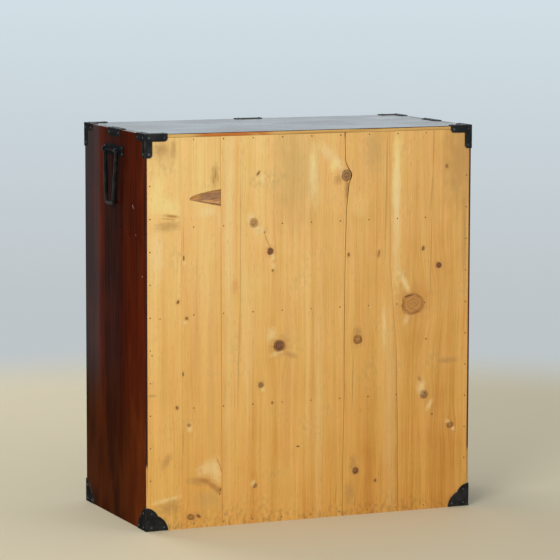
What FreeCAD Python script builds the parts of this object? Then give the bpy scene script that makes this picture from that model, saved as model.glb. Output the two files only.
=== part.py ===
import FreeCAD, Part
import math
import os

# A small tansu chest: a boarded case with three wide drawers over a row of two
# small drawers and a door, with iron fittings and a drop handle on each side.
# Millimetres. The origin is the centre of the case's underside, +Z is up, the
# front faces -Y and the nailed back faces +Y.

# ---- Driving dimensions: case ----
CASE_WIDTH = 606.0
CASE_DEPTH = 300.0
CASE_HEIGHT = 673.0
BOARD = 15.0                # top, bottom and sides
CORNER_FINGERS = 5          # fingers and sockets along each long corner
DUST_BOARD = 12.0           # boards between the drawers
DUST_HOUSING = 5.0          # depth of the grooves in the sides
PARTITION = 12.0            # upright between small drawers and door
PARTITION_HOUSING = 3.0     # depth of its grooves above and below
SHELF = 10.0                # board between the two small drawers
SHELF_HOUSING = 4.0
BACK_PLANK = 7.0
TOP_LIP = 6.0               # edge of the top left standing above the planks
SIDE_LIP = 3.0              # edge of each side left standing beside the planks

# Widths of the back planks at their top and bottom ends, from the right side
# on. The last plank takes what is left.
PLANK_TOP_WIDTHS = (61.0, 72.0, 229.5, 84.5)
PLANK_BOTTOM_WIDTHS = (64.5, 71.5, 224.5, 105.5)

# ---- Driving dimensions: front ----
LOW_BAY = 186.0             # small drawers and door
MIDDLE_BAY = 147.0
UPPER_BAY = 137.0           # the top bay takes the height that is left
SMALL_BAY_WIDTH = 250.0     # the door takes the width that is left

DRAWER_SIDE_GAP = 1.0
DRAWER_TOP_GAP = 1.2
DRAWER_FLOAT = 0.3          # under the drawer's sides
DRAWER_BACK_GAP = 5.0
DRAWER_FRONT = 15.0
DRAWER_WALL = 8.0
DRAWER_REBATE = 7.0         # how far the walls sit into the front
DRAWER_WALL_DROP = 6.0      # walls are this much lower than the front
DRAWER_BOTTOM = 6.0
DRAWER_BOTTOM_RISE = 4.0    # bottom panel above the walls' lower edge
DRAWER_GROOVE = 4.0

DOOR_BOARD = 15.0
DOOR_GAP = 1.0

# ---- Driving dimensions: irons ----
IRON = 1.2                  # thickness of the edge irons
IRON_MARGIN = 2.5           # edge of a board left bare beside an iron
IRON_ARM = 40.0             # length of each arm of a corner iron
IRON_ROUND = 6.0            # rounding of free corners
FOOT_IRON_HEIGHT = 41.0     # lower corner irons, along the upright edge
FOOT_IRON_REACH = 39.5      # and along the floor
FOOT_IRON_CUSP = (21.0, 26.0)
FOOT_IRON_BULGE = 3.2       # of each lobe beyond its chord
FOOT_IRON_LIFT = 0.5        # keeps them off the floor
SIDE_STRAP = 58.0
FRONT_STRAP = 52.0
FRONT_STRAP_X = -5.0
HANDLE_Y = 1.5              # middle of the side straps and carrying handles

TACK_HEAD = 2.1
TACK_DOME = 1.1
TACK_SHANK = 0.8
TACK_LENGTH = 5.0
BACK_NAIL_HEAD = 1.3
BACK_NAIL_DOME = 0.5
BACK_NAIL_LENGTH = 16.0
BACK_NAIL_PITCH = 54.0
BACK_NAIL_INSET = 8.2       # of the nails along each side, from the case's side
FOOT_TACKS = ((9.5, 30.5), (9.5, 6.2), (32.0, 6.2))
HINGE_TACK_INSET = 5.2      # from the outer edge and the ends of the case leaf
PLATE_TACK_INSET = 4.2      # from the ends and edges of a handle's plate

# ---- Driving dimensions: carrying handles ----
HANDLE_PIVOT_DROP = 36.0    # pivot below the top of the case
HANDLE_STANDOFF = 8.0       # pivot out from the side
HANDLE_LENGTH = 91.0        # pivot to the middle of the bottom bar
HANDLE_ROD = 3.0
HANDLE_TOP_HALF = 29.0      # half the spread of the bars at the pivot
HANDLE_BOTTOM_HALF = 17.0
HANDLE_BEND = 6.0
HANDLE_EYE = 5.0
HANDLE_EYE_LENGTH = 6.0
HANDLE_END_PLAY = 1.0
HANDLE_PIN = 2.0
HANDLE_PIN_HEAD = 3.6
HANDLE_PIN_HEAD_LENGTH = 2.0
HANDLE_PIN_GRIP = 12.0      # length of the pin held in the barrel
RUNNING_FIT = 0.08          # radial, round every pivot
PLATE = 2.0
PLATE_HALF = 46.0
PLATE_HEIGHT = 18.0
BARREL = 4.5
BARREL_WEB = 6.0

# ---- Driving dimensions: drawer and door furniture ----
BAIL_OFFSET = 150.0         # middle of each bail from the middle of the chest
BAIL_HALF = 42.0            # half the distance between its posts
BAIL_ROD = 2.5
BAIL_DROP = 34.0
BAIL_STANDOFF = 10.0
BAIL_SHOULDER = 8.0         # leg outside the middle of the post
BAIL_TAPER = 4.0
BAIL_TOP_BEND = 4.0
BAIL_BOTTOM_BEND = 14.0
BAIL_TIP_INSET = 0.6        # tip short of the post's inner end
BAIL_RISE = 11.0            # pivot above the middle of the drawer front
POST_EYE = 5.0
POST_EYE_LENGTH = 6.0
POST_SHANK = 3.0
POST_DEPTH = 12.0
ROSE = 9.0
ROSE_THICKNESS = 1.2
KNOB_HEAD = 9.0
KNOB_NECK = 4.0
KNOB_LENGTH = 18.0
KNOB_HEAD_LENGTH = 7.0
KNOB_DOME = 3.2
LOCK_PLATE_WIDTH = 58.0
LOCK_PLATE_HEIGHT = 50.0
LOCK_PLATE_DROP = 6.0       # below the top edge of the drawer front
KEYHOLE = 2.8
KEYHOLE_SLOT = 10.0
DOOR_PLATE = 24.0
DOOR_PLATE_INSET = 34.0     # its middle from the door's free edge
RING = 14.0
RING_ROD = 2.0
RING_PLAY = 0.6
RING_RISE = 7.0             # pivot above the middle of its plate
DOOR_KEYHOLE_DROP = 8.5
RING_EYE = 5.0
RING_EYE_LENGTH = 4.0
RING_SHANK = 1.8
RING_STANDOFF = 8.0
HINGE_HEIGHT = 36.0
HINGE_INSET = 28.0          # hinge from the door's top and bottom
HINGE_LIFT = 14.0           # lower hinge stands this much higher, over the foot iron
HINGE_KNUCKLE = 3.0
HINGE_PIN = 1.2
HINGE_PLATE = 1.2
HINGE_CLEARANCE = 0.3
HINGE_MARGIN = 1.5          # outer edge of the case leaf from the case's side
HINGE_DOOR_LEAF = 38.0

# ---- Places worked out from them ----
RIGHT = CASE_WIDTH / 2
FRONT = -CASE_DEPTH / 2
BACK = CASE_DEPTH / 2
INNER_RIGHT = RIGHT - BOARD
INNER_TOP = CASE_HEIGHT - BOARD
PLANK_RIGHT = RIGHT - SIDE_LIP
PLANK_TOP = CASE_HEIGHT - TOP_LIP
PLANK_FACE = BACK - BACK_PLANK
DUST_LOW = BOARD + LOW_BAY
DUST_MIDDLE = DUST_LOW + DUST_BOARD + MIDDLE_BAY
DUST_UPPER = DUST_MIDDLE + DUST_BOARD + UPPER_BAY
DUST_LEVELS = (DUST_LOW, DUST_MIDDLE, DUST_UPPER)
PARTITION_LEFT = -INNER_RIGHT + SMALL_BAY_WIDTH
PARTITION_RIGHT = PARTITION_LEFT + PARTITION
SHELF_LEVEL = BOARD + (LOW_BAY - SHELF) / 2
IRON_WIDTH = BOARD - IRON_MARGIN
HINGE_CASE_LEAF = BOARD - HINGE_MARGIN
HINGE_X = INNER_RIGHT
HINGE_Y = FRONT - HINGE_KNUCKLE - HINGE_CLEARANCE
HANDLE_Z = CASE_HEIGHT - HANDLE_PIVOT_DROP
HANDLE_X = RIGHT + HANDLE_STANDOFF


def vector(x, y, z):
    return FreeCAD.Vector(x, y, z)


def box(x0, x1, y0, y1, z0, z1):
    """A block between its lowest and highest corners."""
    return Part.makeBox(x1 - x0, y1 - y0, z1 - z0, vector(x0, y0, z0))


def rod(start, direction, radius, length):
    return Part.makeCylinder(radius, length, vector(*start), vector(*direction))


def fuse(shapes):
    """One solid from shapes that touch or overlap."""
    whole = shapes[0].multiFuse(shapes[1:])
    return whole.removeSplitter()


def cut_all(shape, tools):
    for tool in tools:
        shape = shape.cut(tool)
    return shape


def mirror_x(shape):
    return shape.mirror(vector(0, 0, 0), vector(1, 0, 0))


def mirror_y(shape):
    return shape.mirror(vector(0, 0, 0), vector(0, 1, 0))


def save(node, *shapes):
    """Write one node: a single solid, or several kept apart."""
    solids = [solid for shape in shapes for solid in shape.Solids]
    whole = solids[0] if len(solids) == 1 else Part.makeCompound(solids)
    whole.exportStep("parts/" + node + ".step")


def rounded_path(points, radii):
    """Straight runs through the points, with a tangent arc at each inner one."""
    corners = [vector(*point) for point in points]
    edges = []
    start = corners[0]
    for before, corner, after, radius in zip(corners, corners[1:], corners[2:], radii):
        towards = (before - corner).normalize()
        away = (after - corner).normalize()
        half_turn = (math.pi - towards.getAngle(away)) / 2
        reach = radius * math.tan(half_turn)
        inward = (towards + away).normalize()
        centre = corner + inward * (radius / math.cos(half_turn))
        entry = corner + towards * reach
        leave = corner + away * reach
        edges.append(Part.LineSegment(start, entry).toShape())
        edges.append(Part.Arc(entry, centre - inward * radius, leave).toShape())
        start = leave
    edges.append(Part.LineSegment(start, corners[-1]).toShape())
    return Part.Wire(edges)


def rod_along(path, radius):
    """A round rod that follows a path."""
    first = path.Edges[0]
    point = first.valueAt(first.FirstParameter)
    tangent = first.tangentAt(first.FirstParameter)
    profile = Part.Wire(Part.makeCircle(radius, point, tangent))
    return path.makePipeShell([profile], True, False)


# ---- Turned pieces and nails ----

def outline(at, start, steps):
    """A closed wire; a step is a point, or a middle and an end for an arc."""
    edges = []
    here = at(*start)
    for step in steps + (start,):
        if isinstance(step[0], tuple):
            middle, end = at(*step[0]), at(*step[1])
            edges.append(Part.Arc(here, middle, end).toShape())
        else:
            end = at(*step)
            edges.append(Part.LineSegment(here, end).toShape())
        here = end
    return Part.Wire(edges)


def turned(start, *steps):
    """A solid turned about Z from an outline of radius and height."""
    profile = outline(lambda radius, height: vector(radius, 0, height), start, steps)
    return Part.Face(profile).revolve(vector(0, 0, 0), vector(0, 0, 1), 360)


def dome_middle(radius, height, base=0.0):
    """The point half-way along a cap's arc from its top to its rim."""
    curve = (radius * radius + height * height) / (2 * height)
    slope = math.asin(radius / curve) / 2
    return (curve * math.sin(slope), base + height - curve * (1 - math.cos(slope)))


def nail(head, dome, shank, length):
    """A domed nail along +Z, with the underside of its head at the origin."""
    return turned((0.0, dome), (dome_middle(head, dome), (head, 0.0)), (shank, 0.0),
                  (shank, -length), (0.0, -length))


def driven(template, point, outward):
    """A copy of a nail driven in at a point, its head facing outward."""
    turn = FreeCAD.Rotation(vector(0, 0, 1), vector(*outward))
    copy = template.copy()
    copy.Placement = FreeCAD.Placement(vector(*point), turn)
    return copy


TACK = nail(TACK_HEAD, TACK_DOME, TACK_SHANK, TACK_LENGTH + IRON)
BACK_NAIL = nail(BACK_NAIL_HEAD, BACK_NAIL_DOME, TACK_SHANK, BACK_NAIL_LENGTH)


def spread(low, high, pitch):
    """Evenly spaced places from low to high, about a pitch apart."""
    count = max(1, round((high - low) / pitch))
    return [low + (high - low) * step / count for step in range(count + 1)]


# ---- Case ----

def fingers(x0, x1, z0, z1, first):
    """Every second finger along a corner of the case, from the front back."""
    pitch = CASE_DEPTH / CORNER_FINGERS
    blocks = []
    for index in range(first, CORNER_FINGERS, 2):
        near = FRONT + index * pitch
        blocks.append(box(x0, x1, near, near + pitch, z0, z1))
    return blocks


def back_recess():
    return box(-PLANK_RIGHT, PLANK_RIGHT, PLANK_FACE, BACK, 0, PLANK_TOP)


def side_panel():
    """The right side of the case."""
    panel = box(INNER_RIGHT, RIGHT, FRONT, BACK, 0, CASE_HEIGHT)
    panel = cut_all(panel, fingers(INNER_RIGHT, RIGHT, INNER_TOP, CASE_HEIGHT, 0))
    panel = cut_all(panel, fingers(INNER_RIGHT, RIGHT, 0, BOARD, 1))
    for level in DUST_LEVELS:
        panel = panel.cut(dust_board(level))
    return panel.cut(back_recess())


def end_board(z0, z1, first):
    """The top or bottom of the case, with fingers at both ends."""
    ends = fingers(INNER_RIGHT, RIGHT, z0, z1, first)
    ends = ends + fingers(-RIGHT, -INNER_RIGHT, z0, z1, first)
    board = box(-INNER_RIGHT, INNER_RIGHT, FRONT, BACK, z0, z1)
    return fuse([board] + ends).cut(back_recess())


def dust_board(level):
    reach = INNER_RIGHT + DUST_HOUSING
    return box(-reach, reach, FRONT, PLANK_FACE, level, level + DUST_BOARD)


def partition():
    low = BOARD - PARTITION_HOUSING
    high = DUST_LOW + PARTITION_HOUSING
    return box(PARTITION_LEFT, PARTITION_RIGHT, FRONT, PLANK_FACE, low, high)


def small_shelf():
    left = -INNER_RIGHT - SHELF_HOUSING
    right = PARTITION_LEFT + SHELF_HOUSING
    return box(left, right, FRONT, PLANK_FACE, SHELF_LEVEL, SHELF_LEVEL + SHELF)


def back_planks():
    """The upright planks of the back, from the right side to the left."""
    tops = [PLANK_RIGHT]
    bottoms = [PLANK_RIGHT]
    for top_width, bottom_width in zip(PLANK_TOP_WIDTHS, PLANK_BOTTOM_WIDTHS):
        tops.append(tops[-1] - top_width)
        bottoms.append(bottoms[-1] - bottom_width)
    tops.append(-PLANK_RIGHT)
    bottoms.append(-PLANK_RIGHT)
    planks = []
    for index in range(len(tops) - 1):
        corners = [
            vector(bottoms[index], PLANK_FACE, 0),
            vector(tops[index], PLANK_FACE, PLANK_TOP),
            vector(tops[index + 1], PLANK_FACE, PLANK_TOP),
            vector(bottoms[index + 1], PLANK_FACE, 0),
        ]
        edge = Part.makePolygon(corners + corners[:1])
        planks.append(Part.Face(edge).extrude(vector(0, BACK_PLANK, 0)))
    return planks


def back_nails():
    """Nails through the planks into the case and the dust boards."""
    side_x = RIGHT - BACK_NAIL_INSET
    clear = IRON_ARM + TACK_HEAD + BACK_NAIL_HEAD
    rows = [(PLANK_TOP + INNER_TOP) / 2, BOARD / 2]
    rows = rows + [level + DUST_BOARD / 2 for level in DUST_LEVELS]
    points = []
    for z in rows:
        for x in spread(-RIGHT + 2 * clear, RIGHT - 2 * clear, BACK_NAIL_PITCH):
            points.append((x, BACK, z))
    for z in spread(2 * clear, CASE_HEIGHT - 2 * clear, BACK_NAIL_PITCH):
        points.append((side_x, BACK, z))
        points.append((-side_x, BACK, z))
    return [driven(BACK_NAIL, point, (0, 1, 0)) for point in points]


# ---- Irons: flat outlines on a face of the case, folded round its edges ----

class CaseFace:
    """A face of the case, with a corner of it and its two edges from there."""

    def __init__(self, corner, along, up, out):
        self.corner = vector(*corner)
        self.along = vector(*along)
        self.up = vector(*up)
        self.out = vector(*out)

    def at(self, u, v):
        return self.corner + self.along * u + self.up * v

    def plate(self, start, *steps):
        """A flat piece of iron on the face, from an outline in its own u and v."""
        return Part.Face(outline(self.at, start, steps)).extrude(self.out * IRON)

    def tack(self, u, v):
        return driven(TACK, self.at(u, v) + self.out * IRON, tuple(self.out))


def round_middle(u, v, turn_u, turn_v):
    """The middle of the arc that rounds a free corner at (u, v)."""
    inset = IRON_ROUND * (1 - math.sqrt(0.5))
    return (u + turn_u * inset, v + turn_v * inset)


def arm_plate(face, length, low=-IRON):
    """A strip along one edge from past the corner, its free corner rounded."""
    middle = round_middle(length, IRON_WIDTH, -1, -1)
    return face.plate(
        (-IRON, low), (length, low), (length, IRON_WIDTH - IRON_ROUND),
        (middle, (length - IRON_ROUND, IRON_WIDTH)), (-IRON, IRON_WIDTH))


def upright_plate(face, length, low=-IRON):
    """The same strip along the other edge."""
    middle = round_middle(IRON_WIDTH, length, -1, -1)
    return face.plate(
        (-IRON, low), (IRON_WIDTH, low), (IRON_WIDTH, length - IRON_ROUND),
        (middle, (IRON_WIDTH - IRON_ROUND, length)), (-IRON, length))


def strap_plate(face, length):
    """A strip that lies along an edge on both sides of the face's corner."""
    half = length / 2
    right = round_middle(half, IRON_WIDTH, -1, -1)
    left = round_middle(-half, IRON_WIDTH, 1, -1)
    return face.plate(
        (-half, -IRON), (half, -IRON), (half, IRON_WIDTH - IRON_ROUND),
        (right, (half - IRON_ROUND, IRON_WIDTH)), (IRON_ROUND - half, IRON_WIDTH),
        (left, (-half, IRON_WIDTH - IRON_ROUND)))


def foot_plate(face):
    """A quarter plate with two lobes that meet in a cusp."""
    cusp_u, cusp_v = FOOT_IRON_CUSP
    upper = (cusp_u / 2 + FOOT_IRON_BULGE / 2, (cusp_v + FOOT_IRON_HEIGHT) / 2 + FOOT_IRON_BULGE)
    lower = ((cusp_u + FOOT_IRON_REACH) / 2 + FOOT_IRON_BULGE, cusp_v / 2 + FOOT_IRON_BULGE)
    return face.plate(
        (-IRON, FOOT_IRON_LIFT), (-IRON, FOOT_IRON_HEIGHT), (0.0, FOOT_IRON_HEIGHT),
        (upper, FOOT_IRON_CUSP), (lower, (FOOT_IRON_REACH, FOOT_IRON_LIFT)))


TOP_SIDE = CaseFace((RIGHT, BACK, CASE_HEIGHT), (0, -1, 0), (0, 0, -1), (1, 0, 0))
TOP_BACK = CaseFace((RIGHT, BACK, CASE_HEIGHT), (-1, 0, 0), (0, 0, -1), (0, 1, 0))
TOP_FACE = CaseFace((RIGHT, BACK, CASE_HEIGHT), (-1, 0, 0), (0, -1, 0), (0, 0, 1))
FOOT_SIDE = CaseFace((RIGHT, BACK, 0), (0, -1, 0), (0, 0, 1), (1, 0, 0))
FOOT_BACK = CaseFace((RIGHT, BACK, 0), (-1, 0, 0), (0, 0, 1), (0, 1, 0))
FOOT_FRONT_SIDE = CaseFace((RIGHT, FRONT, 0), (0, 1, 0), (0, 0, 1), (1, 0, 0))
FOOT_FRONT = CaseFace((RIGHT, FRONT, 0), (-1, 0, 0), (0, 0, 1), (0, -1, 0))
MID_SIDE = CaseFace((RIGHT, HANDLE_Y, CASE_HEIGHT), (0, -1, 0), (0, 0, -1), (1, 0, 0))
MID_SIDE_TOP = CaseFace((RIGHT, HANDLE_Y, CASE_HEIGHT), (0, -1, 0), (-1, 0, 0), (0, 0, 1))
MID_FRONT = CaseFace((FRONT_STRAP_X, FRONT, CASE_HEIGHT), (-1, 0, 0), (0, 0, -1), (0, -1, 0))
MID_FRONT_TOP = CaseFace((FRONT_STRAP_X, FRONT, CASE_HEIGHT), (-1, 0, 0), (0, 1, 0), (0, 0, 1))


def upper_corner_iron():
    """Two arms on each of the three faces at the right back top corner."""
    plates = []
    for face in (TOP_SIDE, TOP_BACK, TOP_FACE):
        plates.append(arm_plate(face, IRON_ARM))
        plates.append(upright_plate(face, IRON_ARM))
    return fuse(plates)


def back_foot_iron():
    return fuse([foot_plate(FOOT_SIDE), foot_plate(FOOT_BACK)])


def front_foot_iron():
    """Lobed on the side, but two narrow arms on the front's edges."""
    arm = arm_plate(FOOT_FRONT, IRON_ARM, FOOT_IRON_LIFT)
    upright = upright_plate(FOOT_FRONT, FOOT_IRON_HEIGHT, FOOT_IRON_LIFT)
    return fuse([foot_plate(FOOT_FRONT_SIDE), arm, upright])


def side_strap():
    return fuse([strap_plate(MID_SIDE, SIDE_STRAP), strap_plate(MID_SIDE_TOP, SIDE_STRAP)])


def front_strap():
    return fuse([strap_plate(MID_FRONT, FRONT_STRAP), strap_plate(MID_FRONT_TOP, FRONT_STRAP)])


def corner_tacks(face):
    near = IRON_WIDTH / 2
    far = IRON_ARM - near
    return [face.tack(near, near), face.tack(far, near), face.tack(near, far)]


def foot_tacks(face):
    return [face.tack(u, v) for u, v in FOOT_TACKS]


def strap_tacks(face, length):
    reach = (length - IRON_WIDTH) / 2
    return [face.tack(-reach, IRON_WIDTH / 2), face.tack(reach, IRON_WIDTH / 2)]


def hinge_tacks():
    """Two tacks in the case leaf of each door hinge."""
    x = HINGE_X + HINGE_CASE_LEAF - HINGE_TACK_INSET
    tacks = []
    for low in HINGE_LEVELS:
        for z in (low + HINGE_TACK_INSET, low + HINGE_HEIGHT - HINGE_TACK_INSET):
            tacks.append(driven(TACK, (x, FRONT - HINGE_PLATE, z), (0, -1, 0)))
    return tacks


def plate_tacks():
    """Two tacks at each end of a carrying handle's plate."""
    tacks = []
    for side in (-1, 1):
        y = HANDLE_Y + side * (PLATE_HALF - PLATE_TACK_INSET)
        for rise in (-1, 1):
            z = HANDLE_Z + rise * (PLATE_HEIGHT / 2 - PLATE_TACK_INSET)
            tacks.append(driven(TACK, (RIGHT + PLATE, y, z), (1, 0, 0)))
    return tacks


def iron_nails():
    """All tacks in the irons of the case."""
    upper = corner_tacks(TOP_SIDE) + corner_tacks(TOP_BACK) + corner_tacks(TOP_FACE)
    upper = upper + [mirror_y(tack) for tack in upper]
    low = foot_tacks(FOOT_SIDE) + foot_tacks(FOOT_BACK)
    low = low + foot_tacks(FOOT_FRONT_SIDE) + front_foot_tacks()
    straps = strap_tacks(MID_SIDE, SIDE_STRAP) + strap_tacks(MID_SIDE_TOP, SIDE_STRAP)
    right = upper + low + straps + plate_tacks()
    middle = strap_tacks(MID_FRONT, FRONT_STRAP) + strap_tacks(MID_FRONT_TOP, FRONT_STRAP)
    return right + [mirror_x(tack) for tack in right] + middle + hinge_tacks()


def front_foot_tacks():
    near = IRON_WIDTH / 2
    return [FOOT_FRONT.tack(IRON_ARM - near, near), FOOT_FRONT.tack(near, FOOT_IRON_HEIGHT - near)]


# ---- Carrying handles ----

HANDLE_EYE_START = HANDLE_TOP_HALF - HANDLE_EYE_LENGTH / 2
HANDLE_EYE_END = HANDLE_TOP_HALF + HANDLE_EYE_LENGTH / 2
BARREL_HALF = HANDLE_EYE_START - HANDLE_END_PLAY


def carry_plate():
    """The plate of the right handle, with the barrel that holds its pins."""
    low = HANDLE_Z - PLATE_HEIGHT / 2
    plate = box(RIGHT, RIGHT + PLATE, HANDLE_Y - PLATE_HALF, HANDLE_Y + PLATE_HALF,
                low, low + PLATE_HEIGHT)
    upright = [edge for edge in plate.Edges
               if abs(edge.Vertexes[0].X - edge.Vertexes[1].X) > PLATE / 2]
    plate = plate.makeFillet(PLATE_HEIGHT / 3, upright)
    barrel = rod((HANDLE_X, HANDLE_Y - BARREL_HALF, HANDLE_Z), (0, 1, 0), BARREL, 2 * BARREL_HALF)
    web = box(RIGHT + PLATE / 2, HANDLE_X, HANDLE_Y - BARREL_HALF, HANDLE_Y + BARREL_HALF,
              HANDLE_Z - BARREL_WEB / 2, HANDLE_Z + BARREL_WEB / 2)
    return fuse([plate, barrel, web])


def carry_pin(side):
    """A headed pin from the barrel out through one eye of the handle."""
    inner = HANDLE_Y + side * (BARREL_HALF - HANDLE_PIN_GRIP)
    reach = HANDLE_EYE_END + HANDLE_END_PLAY / 2 - BARREL_HALF + HANDLE_PIN_GRIP
    shank = rod((HANDLE_X, inner, HANDLE_Z), (0, side, 0), HANDLE_PIN, reach)
    head = rod((HANDLE_X, inner + side * reach, HANDLE_Z), (0, side, 0),
               HANDLE_PIN_HEAD, HANDLE_PIN_HEAD_LENGTH)
    return fuse([shank, head])


def carry_handle():
    """The right handle: a loop of rod with an eye at each end."""
    low = HANDLE_Z - HANDLE_LENGTH
    path = rounded_path(
        [(HANDLE_X, HANDLE_Y - HANDLE_TOP_HALF, HANDLE_Z),
         (HANDLE_X, HANDLE_Y - HANDLE_BOTTOM_HALF, low),
         (HANDLE_X, HANDLE_Y + HANDLE_BOTTOM_HALF, low),
         (HANDLE_X, HANDLE_Y + HANDLE_TOP_HALF, HANDLE_Z)],
        [HANDLE_BEND, HANDLE_BEND])
    pieces = [rod_along(path, HANDLE_ROD)]
    for side in (-1, 1):
        start = (HANDLE_X, HANDLE_Y + side * HANDLE_EYE_START, HANDLE_Z)
        pieces.append(rod(start, (0, side, 0), HANDLE_EYE, HANDLE_EYE_LENGTH))
    eyes_width = 2 * (HANDLE_EYE_END + HANDLE_EYE)
    tools = [rod((HANDLE_X, HANDLE_Y - eyes_width / 2, HANDLE_Z), (0, 1, 0),
                 HANDLE_PIN + RUNNING_FIT, eyes_width)]
    for side in (-1, 1):
        for start, length in ((0.0, HANDLE_EYE_START), (HANDLE_EYE_END, HANDLE_EYE)):
            point = (HANDLE_X, HANDLE_Y + side * start, HANDLE_Z)
            tools.append(rod(point, (0, side, 0), HANDLE_EYE + RUNNING_FIT, length))
    return cut_all(fuse(pieces), tools)


# ---- Drawers ----

class Drawer:
    """A drawer in a bay between x0 and x1 and between z0 and z1."""

    def __init__(self, x0, x1, z0, z1):
        self.left = x0 + DRAWER_SIDE_GAP
        self.right = x1 - DRAWER_SIDE_GAP
        self.low = z0 + DRAWER_FLOAT
        self.high = z1 - DRAWER_TOP_GAP
        self.wall_top = self.high - DRAWER_WALL_DROP
        self.end = PLANK_FACE - DRAWER_BACK_GAP
        self.inner_front = FRONT + DRAWER_FRONT
        self.wall_front = self.inner_front - DRAWER_REBATE
        self.middle_x = (self.left + self.right) / 2
        self.middle_z = (self.low + self.high) / 2

    def walls(self):
        """Both sides and the back, before the groove for the bottom."""
        inner_left = self.left + DRAWER_WALL
        inner_right = self.right - DRAWER_WALL
        left = box(self.left, inner_left, self.wall_front, self.end, self.low, self.wall_top)
        right = box(inner_right, self.right, self.wall_front, self.end, self.low, self.wall_top)
        back = box(inner_left, inner_right, self.end - DRAWER_WALL, self.end,
                   self.low, self.wall_top)
        return [left, right, back]

    def bottom(self):
        low = self.low + DRAWER_BOTTOM_RISE
        inset = DRAWER_WALL - DRAWER_GROOVE
        return box(self.left + inset, self.right - inset, self.inner_front - DRAWER_GROOVE,
                   self.end - inset, low, low + DRAWER_BOTTOM)

    def front(self):
        board = box(self.left, self.right, FRONT, self.inner_front, self.low, self.high)
        return cut_all(board, self.walls() + [self.bottom()])

    def save(self, name):
        """Write the front, the walls as three boards, and the bottom."""
        walls = [wall.cut(self.bottom()) for wall in self.walls()]
        save(name + "_front", self.front())
        save(name + "_walls", *walls)
        save(name + "_bottom", self.bottom())

    def save_small(self, name):
        """Write the front, with the walls and the bottom in one node."""
        walls = [wall.cut(self.bottom()) for wall in self.walls()]
        save(name + "_front", self.front())
        save(name + "_box", *walls, self.bottom())
        save(name + "_knob", knob(self.middle_x, self.middle_z))


def post(x, z):
    """An eye on a shank through a rose, for one end of a bail."""
    axis_y = FRONT - BAIL_STANDOFF
    eye = rod((x - POST_EYE_LENGTH / 2, axis_y, z), (1, 0, 0), POST_EYE, POST_EYE_LENGTH)
    shank = rod((x, axis_y, z), (0, 1, 0), POST_SHANK, BAIL_STANDOFF + POST_DEPTH)
    rose = rod((x, FRONT - ROSE_THICKNESS, z), (0, 1, 0), ROSE, ROSE_THICKNESS)
    bore = rod((x - POST_EYE_LENGTH, axis_y, z), (1, 0, 0), BAIL_ROD + RUNNING_FIT,
               2 * POST_EYE_LENGTH)
    return fuse([eye, shank, rose]).cut(bore)


def bail(x, z):
    """A drop handle whose ends turn inwards through the two posts."""
    y = FRONT - BAIL_STANDOFF
    tip = BAIL_HALF - POST_EYE_LENGTH / 2 + BAIL_TIP_INSET
    shoulder = BAIL_HALF + BAIL_SHOULDER
    foot = shoulder - BAIL_TAPER
    points = [(-tip, 0), (-shoulder, 0), (-foot, -BAIL_DROP),
              (foot, -BAIL_DROP), (shoulder, 0), (tip, 0)]
    path = rounded_path([(x + u, y, z + v) for u, v in points],
                        [BAIL_TOP_BEND, BAIL_BOTTOM_BEND, BAIL_BOTTOM_BEND, BAIL_TOP_BEND])
    return rod_along(path, BAIL_ROD)


def knob(x, z):
    """A turned knob on a shank driven into the drawer's front."""
    rim = KNOB_LENGTH - KNOB_DOME
    template = turned(
        (0.0, KNOB_LENGTH),
        (dome_middle(KNOB_HEAD, KNOB_DOME, rim), (KNOB_HEAD, rim)),
        (KNOB_NECK, KNOB_LENGTH - KNOB_HEAD_LENGTH), (KNOB_NECK, ROSE_THICKNESS),
        (ROSE, ROSE_THICKNESS), (ROSE, 0.0), (POST_SHANK, 0.0),
        (POST_SHANK, -POST_DEPTH), (0.0, -POST_DEPTH))
    return driven(template, (x, FRONT, z), (0, -1, 0))


def drawer_lock_plate(drawer):
    """A plain plate with a keyhole at the top of a drawer front."""
    top = drawer.high - LOCK_PLATE_DROP
    middle = top - LOCK_PLATE_HEIGHT / 2
    half = LOCK_PLATE_WIDTH / 2
    plate = box(FRONT_STRAP_X - half, FRONT_STRAP_X + half, FRONT - IRON, FRONT,
                top - LOCK_PLATE_HEIGHT, top)
    return cut_all(plate, keyhole(FRONT_STRAP_X, middle))


def keyhole(x, z):
    depth = IRON * 3
    hole = rod((x, FRONT - depth / 2, z), (0, 1, 0), KEYHOLE, depth)
    slot = box(x - KEYHOLE / 2, x + KEYHOLE / 2, FRONT - depth / 2, FRONT + depth / 2,
               z - KEYHOLE_SLOT, z)
    return [hole, slot]


# ---- Door ----

DOOR_LEFT = PARTITION_RIGHT + DOOR_GAP
DOOR_RIGHT = INNER_RIGHT - DOOR_GAP
DOOR_LOW = BOARD + DOOR_GAP
DOOR_HIGH = DUST_LOW - DOOR_GAP
HINGE_LEVELS = (DOOR_LOW + HINGE_INSET + HINGE_LIFT, DOOR_HIGH - HINGE_INSET - HINGE_HEIGHT)
DOOR_PLATE_X = DOOR_LEFT + DOOR_PLATE_INSET
DOOR_PLATE_Z = (DOOR_LOW + DOOR_HIGH) / 2
RING_Y = FRONT - RING_STANDOFF
RING_PIVOT_Z = DOOR_PLATE_Z + RING_RISE


def door_panel():
    return box(DOOR_LEFT, DOOR_RIGHT, FRONT, FRONT + DOOR_BOARD, DOOR_LOW, DOOR_HIGH)


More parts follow.
